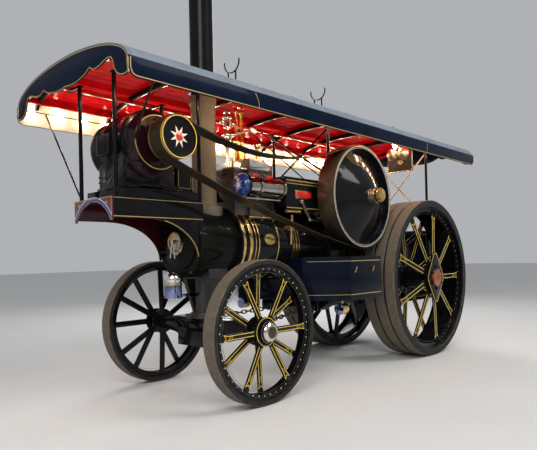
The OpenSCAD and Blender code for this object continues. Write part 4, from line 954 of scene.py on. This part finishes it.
class ENGINE_OT_wheels(bpy.types.Operator):
    """Tyres, spoked wheels and hubs with their lining, nuts and rivets"""
    bl_idname = "engine.wheels"
    bl_label = "Wheels"

    def execute(self, context):
        # How far out the polished part of a front hub starts, and the copper cap of a rear hub
        cap_front, cap_rear = 0.9226, 0.0330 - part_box("rear_tyre_left")[0][1]
        for side in SIDES:
            for end in ("front", "rear"):
                dressed(f"{end}_tyre_{side}", "rubber", f"{end}_rubber", edge=0.0)
                dressed(f"{end}_wheel_{side}", "engine_black", "black_enamel")
            dressed(f"front_hub_{side}", "polished", "polished_steel", "black_enamel",
                    rule=lambda at, facing: abs(at.y) < cap_front)
            dressed(f"rear_hub_{side}", "copper_red", "black_enamel", "copper",
                    rule=lambda at, facing: abs(at.y) > cap_rear)
        dressed("rear_axle", "steel", "bright_steel")
        self.front(Wheel("front"))
        self.rear(Wheel("rear"))
        return {"FINISHED"}

    def front(self, wheel):
        """Front wheels: six and six spokes, a ringed hub and a polished cap."""
        # The rim's inner radius, and the depth of the ring plate's face
        rim, plate = wheel.radius - 0.0633, 0.0258
        wheel.lining(6, [((0.165, 0.0325), (rim - 0.075, 0.0201), 0.0),
                         ((0.165, 0.1386), (rim - 0.075, 0.1193), 30.0)], 0.018, sizes().line)
        wheel.rings("hub_line", [(0.134, plate)], 0.006, LINE_LIFT, "brass", "yellow_lining")
        # The bright lines on the rim's edges and the bright steel rivet heads on the ring plate are painted
        # highlights along the black rim
        wheel.rings("rim_highlight_lines", [(rim - 0.0182, -0.0001), (rim - 0.0605, plate)], 0.0025, 0.0005, "steel",
                    "worn_edge")
        wheel.fittings([("nuts", 0.118, plate, 12, 15, 0.010, "black_enamel"),
                        ("rivets", rim - 0.026, plate, 48, 3, 0.009, "bright_steel")])
        cap, end = Shape(), wheel.hub(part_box("front_hub_left")[0][1] - wheel.face)
        turned(cap, end, OUT, [(0, -0.002), (0.096, -0.002), (0.094, 0.006), (0.082, 0.018), (0.070, 0.025),
                               (0.066, 0.026), (0.062, 0.022), (0, 0.022)])
        turned(cap, end, OUT, [(0, 0.018), (0.058, 0.018), (0.057, 0.024), (0.030, 0.026), (0, 0.027)],
               mark=1)
        fit_sides("front_cap", cap, "polished", "polished_steel", "flywheel_rim", end="front")

    def rear(self, wheel):
        """Rear wheels: nine and nine spokes, a lined lozenge plate and a copper cap."""
        # The rim's inner radius, and the depth of the ring plate's face
        rim, plate = wheel.radius - 0.0973, 0.0698
        wheel.lining(9, [((0.27, 0.0204), (rim - 0.105, 0.0563), 0.0),
                         ((0.27, 0.4036), (rim - 0.105, 0.3810), 20.0)], 0.026, sizes().line * 1.25)
        # The bright lines on the rim's edges are painted highlights, and the rim's rivets are worn metal with
        # painted highlights
        wheel.rings("rim_highlight_lines", [(rim - 0.0222, -0.0001), (rim - 0.0845, plate)], 0.0025, 0.0005, "steel",
                    "worn_edge")
        wheel.fittings([("rivets", rim - 0.030, plate, 72, 2.5, 0.012, "worn_edge"),
                        ("nuts", 0.150, -0.0322, 6, 30, 0.019, "black_enamel"),
                        ("nuts", 0.205, 0.0015, 18, 10, 0.013, "black_enamel")])
        # The lozenge plate's half sizes, its blunt tips and how far its line is drawn in
        tall, wide, tip, inset = 0.345, 0.235, 0.034, 0.016
        corners = [(wide, tip), (tip, tall), (-tip, tall), (-wide, tip)]
        line = Shape()
        strip(line, [wheel.hub(-0.0323) + Vector((x * (1 - inset / wide), 0.0, z * (1 - inset / tall)))
                     for x, z in corners + [(-x, -z) for x, z in corners]], OUT, 0.007, closed=True)
        fit_sides("rear_plate_line", line, "brass", "yellow_lining", end="rear")


# Motion, flywheel and belt

class ENGINE_OT_motion(bpy.types.Operator):
    """Cylinder block, valve cylinders, motion plates, crankshaft, flywheel and belt"""
    bl_idname = "engine.motion"
    bl_label = "Motion"

    def execute(self, context):
        dressed("cylinder_block", "cast", "cylinder_paint", edge=0.004)
        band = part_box("cylinder_cover")[0][2] + 0.075
        dressed("cylinder_cover", "polished", "cylinder_paint", "polished_steel", edge=0.004,
                rule=lambda at, facing: at.z > band, cuts=[band])
        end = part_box("valve_cylinder")[0][0] + 0.002
        dressed("valve_cylinder", "polished", "dark_chrome", "blue_enamel",
                rule=lambda at, facing: at.x < end)
        column_x, column_z = -0.93, 2.63
        dressed("safety_valves", "brass", "brass", "polished_steel",
                rule=lambda at, facing: at.x > column_x and at.z > column_z)
        pulley_x, pulley_z, pulley_side, pulley_boss = -1.222, 2.759, -0.386, 0.052
        dressed("governor", "polished", "polished_steel", "black_enamel", edge=0.001,
                rule=lambda at, facing: at.y < pulley_side
                and hypot(at.x - pulley_x, at.z - pulley_z) > pulley_boss)
        for name in ("motion_case", "crank_cover"):
            dressed(name, "engine_black", "black_enamel")
        dressed("crankshaft", "steel", "bright_steel")
        dressed("flywheel", "engine_black", "black_enamel", "flywheel_rim", "bright_steel",
                rule=self.flywheel_rule)
        dressed("flywheel_hub", "brass", "brass")
        dressed("drive_belt", "belt_leather", "belt_leather", edge=0.0)
        self.flywheel_lines()
        self.motion_plates()
        self.drain_gear()
        self.valve_ends()
        return {"FINISHED"}

    @staticmethod
    def flywheel_rule(at, facing):
        """Worn rim, polished neck of the hub and painted dish."""
        rim, neck = FLYWHEEL_R - 0.006, FLYWHEEL_FACE - 0.119
        if hypot(at.x - FLYWHEEL_AXIS.x, at.z - FLYWHEEL_AXIS.z) > rim and abs(facing.y) < SIDEWAYS:
            return 1
        return 2 if at.y < neck else 0

    def flywheel_lines(self):
        """The two cream lines on the rim's face."""
        shape = Shape()
        for inset, width in ((0.016, 0.005), (0.034, 0.003)):
            centre = (FLYWHEEL_AXIS.x, FLYWHEEL_FACE, FLYWHEEL_AXIS.z)
            ring(shape, centre, OUT, FLYWHEEL_R - inset, width, 128)
        fit("flywheel_line", shape, "brass", "cream_paint", body="crank")

    def valve_ends(self):
        """Cover, flange, ring and star on each valve cylinder's front, and red ovals on the block."""
        low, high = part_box("valve_cylinder")
        bore_y = -0.4153
        centre = Vector((low[0] - 0.060, bore_y, (low[2] + high[2]) / 2))
        star, line, ovals, cover, flange = [Shape() for _ in range(5)]
        turned(cover, centre, AHEAD, [(0, -0.062), (0.118, -0.062), (0.118, -0.040), (0.110, -0.020),
                                      (0.094, -0.006), (0.080, 0), (0, 0)])
        collar(flange, centre, AHEAD, 0.132, 0.112, -0.078, -0.050)
        for k, (c, s) in enumerate(circle(10)):
            way = Vector((0.0, c, s))
            root, side = centre + way * 0.010, AHEAD.cross(way) * 0.006
            slab(star, [root + side, root - side, centre + way * (0.056 if k % 2 else 0.077)], AHEAD, -0.001,
                 0.002)
        disc(star, centre, AHEAD, 0.014, -0.001, 0.005, 16)
        ring(line, centre - AHEAD * 0.050, AHEAD, 0.125, 0.006, 48)
        block_side, oval_z, oval_long, oval_tall = -0.300, 2.292, 0.058, 0.024
        for x in (-1.093, -0.868):
            slab(ovals, [(x + oval_long * c, block_side, oval_z + oval_tall * s) for c, s in circle(28)], OUT,
                 -0.001, 0.004)
        fit("valve_star", star.doubled(), "brass", "cream_paint")
        fit("valve_ring", line.doubled(), "polished", "polished_steel")
        fit("valve_covers", cover.doubled(), "navy_paint", "blue_enamel")
        fit("valve_flanges", flange.doubled(), "engine_black", "black_enamel")
        fit("block_ovals", ovals.doubled(), "copper_red", "signal_red")

    def motion_plates(self):
        """Lining and the blank red plate on the motion's side plates, and the tube below them."""
        low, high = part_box("motion_case")
        lines, plate, field, tube = [Shape() for _ in range(4)]
        y, tube_y, tube_z = low[1], low[1] + 0.012, low[2] - 0.016
        # Height and width of each line
        for z, width in ((2.258, 0.015), (2.224, 0.010), (1.950, 0.010)):
            strip(lines, [(low[0] + 0.012, y, z), (high[0] - 0.012, y, z)], OUT, width)
        box(plate, (-0.645, y - 0.010, 2.058), (-0.352, y, 2.152))
        box(field, (-0.632, y - 0.012, 2.071), (-0.365, y - 0.009, 2.139))
        rod(tube, [(x, tube_y, tube_z) for x in (-0.790, -0.560)], 0.017, 16)
        for x in (-0.790, -0.575):
            collar(tube, (x, tube_y, tube_z), BACK, 0.022, 0.016, 0.0, 0.015, 20)
        fit_sides("motion_lines", lines, "brass", "gold_lining")
        fit_sides("motion_plate", plate, "brass", "brass", edge=0.002)
        fit_sides("motion_plate_field", field, "copper_red", "signal_red", edge=0.001)
        fit_sides("motion_tube", tube, "brass", "brass")

    def drain_gear(self):
        """Steel lever on the left side plate with its rod to the hornplate, and the drain rod in front."""
        gear = Shape()
        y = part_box("motion_case")[0][1] - 0.008
        pin, foot, end = Vector((-0.540, y, 2.022)), Vector((-0.402, y, 1.822)), Vector((0.095, y, 1.785))
        across = (foot - pin).normalized().cross(OUT)
        slab(gear, [pin + across * 0.016, pin - across * 0.016, foot - across * 0.011, foot + across * 0.011],
             OUT, 0.0, 0.012)
        for spot, radius in ((pin, 0.026), (foot, 0.019), (end, 0.019)):
            turned(gear, spot, OUT, [(0, -0.008), (radius, -0.008), (radius, 0.014), (radius * 0.5, 0.018),
                                     (radius * 0.45, 0.026), (0, 0.027)], 20)
        rod(gear, [foot + OUT * 0.004, end + OUT * 0.004], 0.010)
        turned(gear, (end.x, HORN_FACE, end.z), OUT, [(0, -0.001), (0.030, -0.001), (0.030, 0.010),
                                                      (0.014, 0.014), (0.014, 0.040), (0, 0.040)], 20)
        rod_y, rod_z = -0.415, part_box("valve_cylinder")[0][2] - 0.010
        rod(gear, [(-1.400, rod_y, rod_z), (-0.835, rod_y, rod_z)], 0.011, 12)
        for x in (-1.400, -1.205, -0.845):
            disc(gear, (x - 0.014, rod_y, rod_z), BACK, 0.019, 0, 0.028, 16)
        fit("drain_gear", gear, "steel", "bright_steel")


# Platform and dynamo

class ENGINE_OT_dynamo(bpy.types.Operator):
    """The dynamo with its bed and platform"""
    bl_idname = "engine.dynamo"
    bl_label = "Dynamo"

    def execute(self, context):
        outer, yoke_front, yoke_foot = PLATFORM_HIGH[1] - 0.001, -2.742, DYNAMO_AXIS.z - 0.302
        dressed("platform", "maroon_paint", "black_enamel", "maroon_enamel",
                rule=lambda at, facing: abs(at.y) <= outer and facing.z <= 0.9)
        dressed("valance", "maroon_paint", "dark_red")
        dressed("dynamo_bed", "engine_black", "black_enamel")
        dressed("dynamo_frame", "maroon_paint", "plum_enamel", "black_enamel",
                rule=lambda at, facing: at.x < yoke_front or at.z < yoke_foot)
        dressed("dynamo_commutator", "cast", "iron_casting")
        dressed("dynamo_pulley", "pulley_tan", "black_enamel", "pulley_tan", "bright_steel",
                rule=self.pulley_rule)
        self.pulley_face()
        self.platform_lines()
        self.valance_paint()
        self.bell_ring()
        self.regulator()
        return {"FINISHED"}

    @staticmethod
    def pulley_rule(at, facing):
        """Tan drum, bright shaft and black faces."""
        drum, shaft_y = PULLEY_R - 0.004, -0.56
        if abs(facing.y) >= SIDEWAYS:
            return 0
        if hypot(at.x - DYNAMO_AXIS.x, at.z - DYNAMO_AXIS.z) > drum:
            return 1
        return 2 if at.y > shaft_y else 0

    def regulator(self):
        """The regulator's plain box on the bed behind the dynamo, with a lined side and a foot."""
        shape, lines, inset = Shape(), Shape(), 0.018
        x0, x1, y0, y1 = -2.130, -1.945, -0.255, -0.040
        foot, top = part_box("dynamo_bed")[1][2] - 0.001, 2.285
        # Each slab of the box: how far it stands out, its lowest and its highest place
        for out, z0, z1 in ((0.0, foot + 0.022, top), (0.010, foot, foot + 0.023),
                            (0.006, top - 0.001, top + 0.012)):
            box(shape, (x0 - out, y0 - out, z0), (x1 + out, y1 + out, z1))
        low, high = foot + 0.045, top - inset
        strip(lines, [(x0 + inset, y0, low), (x1 - inset, y0, low), (x1 - inset, y0, high),
                      (x0 + inset, y0, high)], OUT, 0.004, closed=True)
        fit("regulator_box", shape, "engine_black", "black_enamel", edge=0.003)
        fit("regulator_lines", lines, "brass", "gold_lining")

    def valance_paint(self):
        """The valance's blue arch band between cream lines, its gold edge and two gilt buttons."""
        band, cream, gold = Shape(), Shape(), Shape()
        low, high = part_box("valance")
        face, crown = low[0], high[2] - 0.034
        rise, half = crown - low[2], high[1] - 0.030
        radius, count = (half * half + rise * rise) / (2 * rise), 32
        centre_z = crown - radius
        start = asin((low[2] + 0.012 - centre_z) / radius)

        def arch(out):
            """The arch's curve, so far outside its radius."""
            return [(face, (radius + out) * cos(a), centre_z + (radius + out) * sin(a))
                    for a in [start + (pi - 2 * start) * k / count for k in range(count + 1)]]
        strip(band, arch(0.024), AHEAD, 0.030, 0.0008)
        strip(cream, arch(0.006), AHEAD, 0.006)
        strip(cream, arch(0.042), AHEAD, 0.005)
        strip(gold, outline("valance", AHEAD, 0.005), AHEAD, 0.006, closed=True)
        button_y, button_z = 0.235, 1.905
        for y in (-button_y, button_y):
            turned(gold, (face, y, button_z), AHEAD,
                   [(0, -0.001), (0.013, -0.001), (0.009, 0.006), (0, 0.008)], 16)
        fit("valance_band", band, "navy_paint", "blue_enamel")
        fit("valance_lines", cream, "brass", "cream_paint")
        fit("valance_edge", gold, "brass", "gold_lining")

    def bell_ring(self):
        """Gilt ring round the dynamo's end bell, with its ring of nuts."""
        bell_face = -0.453
        line, centre = Shape(), (DYNAMO_AXIS.x, bell_face, DYNAMO_AXIS.z)
        ring(line, centre, OUT, 0.239, 0.010, 72)
        fit("bell_ring", line, "brass", "gold_lining")
        stand("bell_nuts", "nuts", [(p, OUT) for p in ring_points(centre, OUT, 0.205, 8, 0.2)], 0.010,
              "black_enamel")

    def pulley_face(self):
        """The pulley's yellow ring and its eight-pointed rosette."""
        line, star, boss = Shape(), Shape(), Shape()
        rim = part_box("dynamo_pulley")[0][1]
        centre = Vector((DYNAMO_AXIS.x, rim + 0.013, DYNAMO_AXIS.z))
        ring(line, (centre.x, rim, centre.z), OUT, PULLEY_R - 0.007, 0.008, 96)
        points = [centre + Vector((c, 0.0, s)) * (0.040 if k % 2 else 0.098)
                  for k, (c, s) in enumerate(circle(16, pi / 8))]
        star.add(points + [centre + OUT * 0.012] + [p - OUT * 0.001 for p in points],
                 [[k, (k + 1) % 16, 16] for k in range(16)] + wall(0, 17, 16) + [list(range(17, 33))])
        turned(boss, centre + OUT * 0.002, OUT,
               [(0, -0.004), (0.036, -0.004), (0.036, 0.008), (0.022, 0.016), (0, 0.018)], 24)
        fit("pulley_line", line, "brass", "yellow_lining", body="dynamo_rotor")
        fit("pulley_star", star, "polished", "cream_paint", body="dynamo_rotor", angle=10)
        fit("pulley_boss", boss, "copper_red", "signal_red", body="dynamo_rotor")

    def platform_lines(self):
        """Gold lines along the platform's foot and down the curved cheeks to the smokebox."""
        lines, y = Shape(), PLATFORM_LOW[1]
        foot, top = PLATFORM_HIGH[2] - 0.180, PLATFORM_HIGH[2]
        for z, width in ((foot + 0.010, 0.008), (top - 0.010, 0.005)):
            strip(lines, [(PLATFORM_LOW[0] + 0.005, y, z), (PLATFORM_HIGH[0] - 0.005, y, z)], OUT, width)
        front, length, drop = SMOKE_FACE - 0.620, 0.594, 0.390
        sweep = [radians(a) for a in range(20, 90, 5)]
        strip(lines, [(front + (length + 0.009) * sin(a), y, foot - drop * (1 - cos(a)) + 0.008 * cos(a))
                      for a in sweep], OUT, 0.008)
        fit("platform_lines", lines.doubled(), "brass", "gold_lining")


# Canopy

class ENGINE_OT_canopy(bpy.types.Operator):
    """Roof, ceiling, side and end boards, ribs, posts and bulbs"""
    bl_idname = "engine.canopy"
    bl_label = "Canopy"

    def execute(self, context):
        half, cross_front = BOARD_HIGH[1], 1.0
        rail_y, rail_half, rail_low, rail_high = 0.49, 0.022, 3.04, 3.09
        dressed("canopy_roof", "roof_paint", "roof_canvas")
        dressed("canopy_ceiling", "ceiling_red", "ceiling_red", "cream_paint", edge=0.0,
                rule=lambda at, facing: abs(at.y) > half - 0.075)
        dressed("canopy_rails", "ceiling_red", "beam_red")
        dressed("canopy_boards", "navy_paint", "navy_enamel", "cream_paint",
                rule=lambda at, facing: half - 0.030 < abs(at.y) <= half - 0.004 and abs(facing.y) > 0.9)
        dressed("canopy_ribs", "engine_black", "black_enamel", "beam_red",
                rule=lambda at, facing: abs(abs(at.y) - rail_y) < rail_half and rail_low < at.z < rail_high)
        for name in ("canopy_posts", "roof_cradles"):
            dressed(name, "engine_black", "black_enamel")
        dressed("canopy_lattice", "polished", "black_enamel", "cream_paint",
                rule=lambda at, facing: at.x >= cross_front)
        self.side_lines()
        self.end_lines()
        self.bulbs()
        self.seams()
        return {"FINISHED"}

    def seams(self):
        """Lapped seams of the roof's canvas, over the crown from side to side, and the tacked edges."""
        half, foot, rise = ROOF_HIGH[1], ROOF_LOW[2], ROOF_HIGH[2] - ROOF_LOW[2]
        start, sweep, count = 4, 172, 60
        angles = [radians(start + sweep * k / count) for k in range(count + 1)]
        arc = [(Vector((0.0, half * cos(a), foot + rise * sin(a))),
                Vector((0.0, cos(a) / half, sin(a) / rise)).normalized()) for a in angles]
        shape, spots = Shape(), []
        for x in (-2.10, -1.10, -0.10, 0.90, 1.90):
            strip(shape, [p + BACK * x for p, _ in arc], [f for _, f in arc], 0.034, 0.0016)
            spots += [(p + BACK * x, f) for p, f in arc[::2]]
        for x in (ROOF_LOW[0] + 0.020, ROOF_HIGH[0] - 0.020):
            spots += [(p + BACK * x, f) for p, f in arc]
        fit("roof_seams", shape, "roof_paint", "roof_canvas")
        stand("roof_tacks", "rivets", spots, 0.0045, "worn_edge")

    def side_lines(self):
        """Gold lines on the side boards and their curved joints, and a bead under the roof's edge."""
        lines, bead, y = Shape(), Shape(), BOARD_LOW[1]
        loop = outline("canopy_boards", OUT, 0.008)
        top = max(range(len(loop)), key=lambda k: loop[k - 1].z + loop[k].z)
        strip(lines, loop[top:] + loop[:top], OUT, 0.008)
        foot, tall = 2.778, 0.126
        for x, lean in ((-1.740, -0.050), (1.552, 0.020)):
            strip(lines, [(x + lean * (k / 8) ** 2, y, foot + tall * k / 8) for k in range(9)], OUT, 0.006)
        fit("side_board_lines", lines.doubled(), "brass", "gold_lining")
        rod(bead, [(x, y + 0.016, ROOF_LOW[2] + 0.001) for x in (ROOF_LOW[0], ROOF_HIGH[0])], 0.009, 12)
        fit("roof_bead", bead.doubled(), "navy_paint", "black_enamel")

    def end_lines(self):
        """Gold lines along the end boards' arch and scallops."""
        for name, facing in (("front_board_lines", AHEAD), ("rear_board_lines", BACK)):
            lines = Shape()
            strip(lines, outline("canopy_boards", facing, 0.008), facing, 0.007, 0.0004, closed=True)
            fit(name, lines, "brass", "gold_lining")

    def bulbs(self):
        """A row of lamp bulbs on the inner face of each side board."""
        pitch, count, inner, high, size = 0.28, 22, BOARD_LOW[1] + 0.018, 2.890, 0.027
        spots = [(Vector((BOARD_LOW[0] + 0.12 + k * pitch, inner, high)), Vector((0.0, 1.0, -0.15)))
                 for k in range(count)]
        spots += mirrored(spots)
        stand("canopy_bulbs", "bulbs", spots, size, "lit_bulb")
        stand("bulb_caps", "sockets", spots, size, "brass")


# Underworks, tank and tender

class ENGINE_OT_underworks(bpy.types.Operator):
    """Front axle, perch bracket, steering, belly tank, tender and draw plate"""
    bl_idname = "engine.underworks"
    bl_label = "Underworks"

    def execute(self, context):
        dressed("front_axle", "engine_black", "black_enamel")
        hand_wheel_x = 1.9
        dressed("steering_gear", "engine_black", "black_enamel", "polished_steel",
                rule=lambda at, facing: at.x > hand_wheel_x)
        for name, edge in (("perch_bracket", None), ("steering_chains", 0.0), ("drawbar", None)):
            dressed(name, "cast", "iron_casting", edge=edge)
        for name in ("belly_tank", "tender"):
            dressed(name, "navy_paint", "tank_enamel")
        self.tank()
        self.tender()
        return {"FINISHED"}

    def tender(self):
        """Gold lines and rivets on the tender's sides and back."""
        lines, spots = Shape(), []
        for facing in (OUT, BACK):
            for inset, width in ((0.050, 0.009), (0.070, 0.003)):
                strip(lines, outline("tender", facing, inset), facing, width, closed=True)
            loop = outline("tender", facing, 0.022)
            spots.append([(p, facing) for one, two in zip(loop, loop[1:] + loop[:1])
                          for p in row_points(one, two, 0.070)[:-1]])
        fit("tender_lines", lines.doubled(), "brass", "gold_lining")
        side, back = spots
        stand("tender_rivets", "rivets", side + mirrored(side) + back, 0.009, "black_enamel")

    def tank(self):
        """Gold lines, rivet rows and two small handles on each side of the belly tank."""
        low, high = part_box("belly_tank")
        lines, handles = Shape(), Shape()
        y, taper, front_y = low[1], 0.340, -0.530
        corner = low[0] + taper
        slope = Vector((y - front_y, -taper, 0.0)).normalized()
        for z in (0.955, 1.335):
            strip(lines, [(corner, y, z), (high[0] - 0.01, y, z)], OUT, 0.009)
            strip(lines, [(low[0] + 0.03, front_y + (y - front_y) * 0.03 / taper, z), (corner, y, z)], slope,
                  0.005)
        fit("tank_lines", lines.doubled(), "brass", "gold_lining")
        rows = [row_points((corner + 0.02, y, z), (high[0] - 0.02, y, z), 0.045) for z in (0.915, 1.368)]
        rows.append(row_points((high[0] - 0.018, y, 0.96), (high[0] - 0.018, y, 1.33), 0.062))
        spots = [(p, OUT) for row in rows for p in row]
        stand("tank_rivets", "rivets", spots + mirrored(spots), 0.008, "black_enamel")
        for x in (-0.205, 0.155):
            foot, head = Vector((x, y, 1.205)), Vector((x + 0.040, y, 1.265))
            rod(handles, [foot, foot + OUT * 0.022, head + OUT * 0.022, head], 0.0055)
        fit("tank_handles", handles.doubled(), "brass", "brass")


# Lamps and switchboard

class ENGINE_OT_lamps(bpy.types.Operator):
    """Front lamp, tank lamps and switchboard"""
    bl_idname = "engine.lamps"
    bl_label = "Lamps"

    def execute(self, context):
        # Below the band the front lamp's drum is tinted blue, a painted reflection; the tank lamps' front
        # faces are tinted the same way
        glass, band = [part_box("front_lamp")[0][2] + up for up in (0.129, 0.149)]
        dressed("front_lamp", "polished", "polished_steel", "lamp_glass", "brass", edge=0.001,
                rule=lambda at, facing: 1 if at.z < glass else 2 * (at.z < band), cuts=(glass, band))
        dressed("tank_lamps", "polished", "brass", "lamp_glass",
                rule=lambda at, facing: facing.x < -0.95)
        board_face = 1.699
        dressed("switchboard", "engine_black", "slate_brown", "meter_cover",
                rule=lambda at, facing: at.x < board_face)
        self.board_lamp()
        return {"FINISHED"}

    def board_lamp(self):
        """The switchboard's brass edge, the ring round its socket and the lit bulb above the two meters."""
        shape, y = Shape(), -0.466
        strip(shape, outline("switchboard", AHEAD, 0.006), AHEAD, 0.007, closed=True)
        ring(shape, (1.670, -0.509, 2.723), AHEAD, 0.023, 0.006, 24)
        rod(shape, [(1.708, y, 2.900), (1.690, y, 2.925), (1.664, y, 2.930)], 0.010)
        fit("switchboard_edge", shape, "brass", "brass")
        stand("switchboard_bulb", "bulbs", [((1.672, y, 2.922), (-0.6, 0.0, 0.5))], 0.030,
              "lit_bulb")


# Stage

class ENGINE_OT_stage(bpy.types.Operator):
    """Floor, soft studio light and the camera"""
    bl_idname = "engine.stage"
    bl_label = "Stage"

    def execute(self, context):
        self.camera(context.scene)
        self.floor()
        self.light(context.scene)
        return {"FINISHED"}

    def camera(self, scene):
        """The camera at the photograph's viewing angle, low at the engine's front left."""
        picture_width, focal, horizon = 537.0, 543.81, 25.89
        yaw, pitch, roll = radians(43.0243), radians(0.585), radians(-1.2914)
        forward = Vector((cos(yaw) * cos(pitch), sin(yaw) * cos(pitch), sin(pitch)))
        level = Vector((sin(yaw), -cos(yaw), 0.0))
        upright = level.cross(forward)
        right = level * cos(roll) + upright * sin(roll)
        up = upright * cos(roll) - level * sin(roll)
        lens = bpy.data.cameras.new("Camera")
        lens.sensor_width = 36.0
        lens.sensor_fit = "HORIZONTAL"
        lens.lens = lens.sensor_width * focal / picture_width
        lens.shift_y = horizon / picture_width
        lens.clip_start, lens.clip_end = 0.1, 200.0
        made = bpy.data.objects.new("Camera", lens)
        bpy.context.collection.objects.link(made)
        made.matrix_world = Matrix.Translation((-5.3561, -4.4479, 1.4064)) @ Matrix(
            (right, up, -forward)).transposed().to_4x4()
        scene.camera = made

    def floor(self):
        """A plain pale floor."""
        shape, reach = Shape(), 60.0
        box(shape, (-reach, -reach, -0.05), (reach, reach, -0.0005))
        made = bpy.data.objects.new("floor", to_mesh("floor", shape))
        bpy.context.collection.objects.link(made)
        screed = Finish("floor")
        tint = screed.blend(screed.noise(0.8), (0.60, 0.60, 0.59), (0.66, 0.66, 0.65))
        screed.tree.links.new(tint, screed.shader.inputs["Base Color"])
        screed.shader.inputs["Roughness"].default_value = 0.8
        made.data.materials.append(screed.material)

    def light(self, scene):
        """A pale world and large soft lamps from the front left, the side and behind."""
        scene.world = bpy.data.worlds.new("Studio")
        scene.world.use_nodes = True
        back = scene.world.node_tree.nodes["Background"]
        back.inputs["Color"].default_value = (0.78, 0.80, 0.83, 1.0)
        back.inputs["Strength"].default_value = 0.55
        for name, place, aim, size, power in (
                ("key", (-7.5, -5.0, 6.5), (0.0, 0.0, 1.2), 4.0, 480.0),
                ("side", (1.5, -7.5, 8.0), (0.5, 0.0, 1.0), 4.0, 480.0),
                ("rim", (6.0, 6.0, 6.0), (0.0, 0.0, 1.5), 5.0, 380.0)):
            lamp = bpy.data.lights.new(name, "AREA")
            lamp.size, lamp.energy = size, power
            lamp.color = (1.0, 0.98, 0.95)
            made = bpy.data.objects.new(name, lamp)
            bpy.context.collection.objects.link(made)
            made.location = place
            made.rotation_mode = "QUATERNION"
            made.rotation_quaternion = (Vector(aim) - Vector(place)).to_track_quat("-Z", "Y")
        scene.view_settings.view_transform = "Standard"


# Add-on

STEPS = (ENGINE_OT_boiler, ENGINE_OT_wheels, ENGINE_OT_motion, ENGINE_OT_dynamo, ENGINE_OT_canopy,
         ENGINE_OT_underworks, ENGINE_OT_lamps, ENGINE_OT_stage)


class ENGINE_PT_panel(bpy.types.Panel):
    """Shows the engine's build steps and its settings in the sidebar"""
    bl_label = "Steam traction engine"
    bl_idname = "ENGINE_PT_panel"
    bl_space_type = "VIEW_3D"
    bl_region_type = "UI"
    bl_category = "Engine"

    def draw(self, context):
        for step in STEPS:
            self.layout.operator(step.bl_idname)
        for group in (context.scene.engine_paint, context.scene.engine_sizes):
            for key in group.bl_rna.properties.keys():
                if key not in ("rna_type", "name"):
                    self.layout.prop(group, key)


CLASSES = (EnginePaint, EngineSizes) + STEPS + (ENGINE_PT_panel,)


def register():
    """Registers the classes and the scene's settings."""
    for made in CLASSES:
        bpy.utils.register_class(made)
    bpy.types.Scene.engine_paint = bpy.props.PointerProperty(type=EnginePaint)
    bpy.types.Scene.engine_sizes = bpy.props.PointerProperty(type=EngineSizes)


def unregister():
    """Takes the classes and the settings away again."""
    del bpy.types.Scene.engine_sizes
    del bpy.types.Scene.engine_paint
    for made in reversed(CLASSES):
        bpy.utils.unregister_class(made)


def main():
    """Builds the whole dress."""
    register()
    for step in STEPS:
        group, name = step.bl_idname.split(".")
        getattr(getattr(bpy.ops, group), name)()


if __name__ == "__main__":
    main()
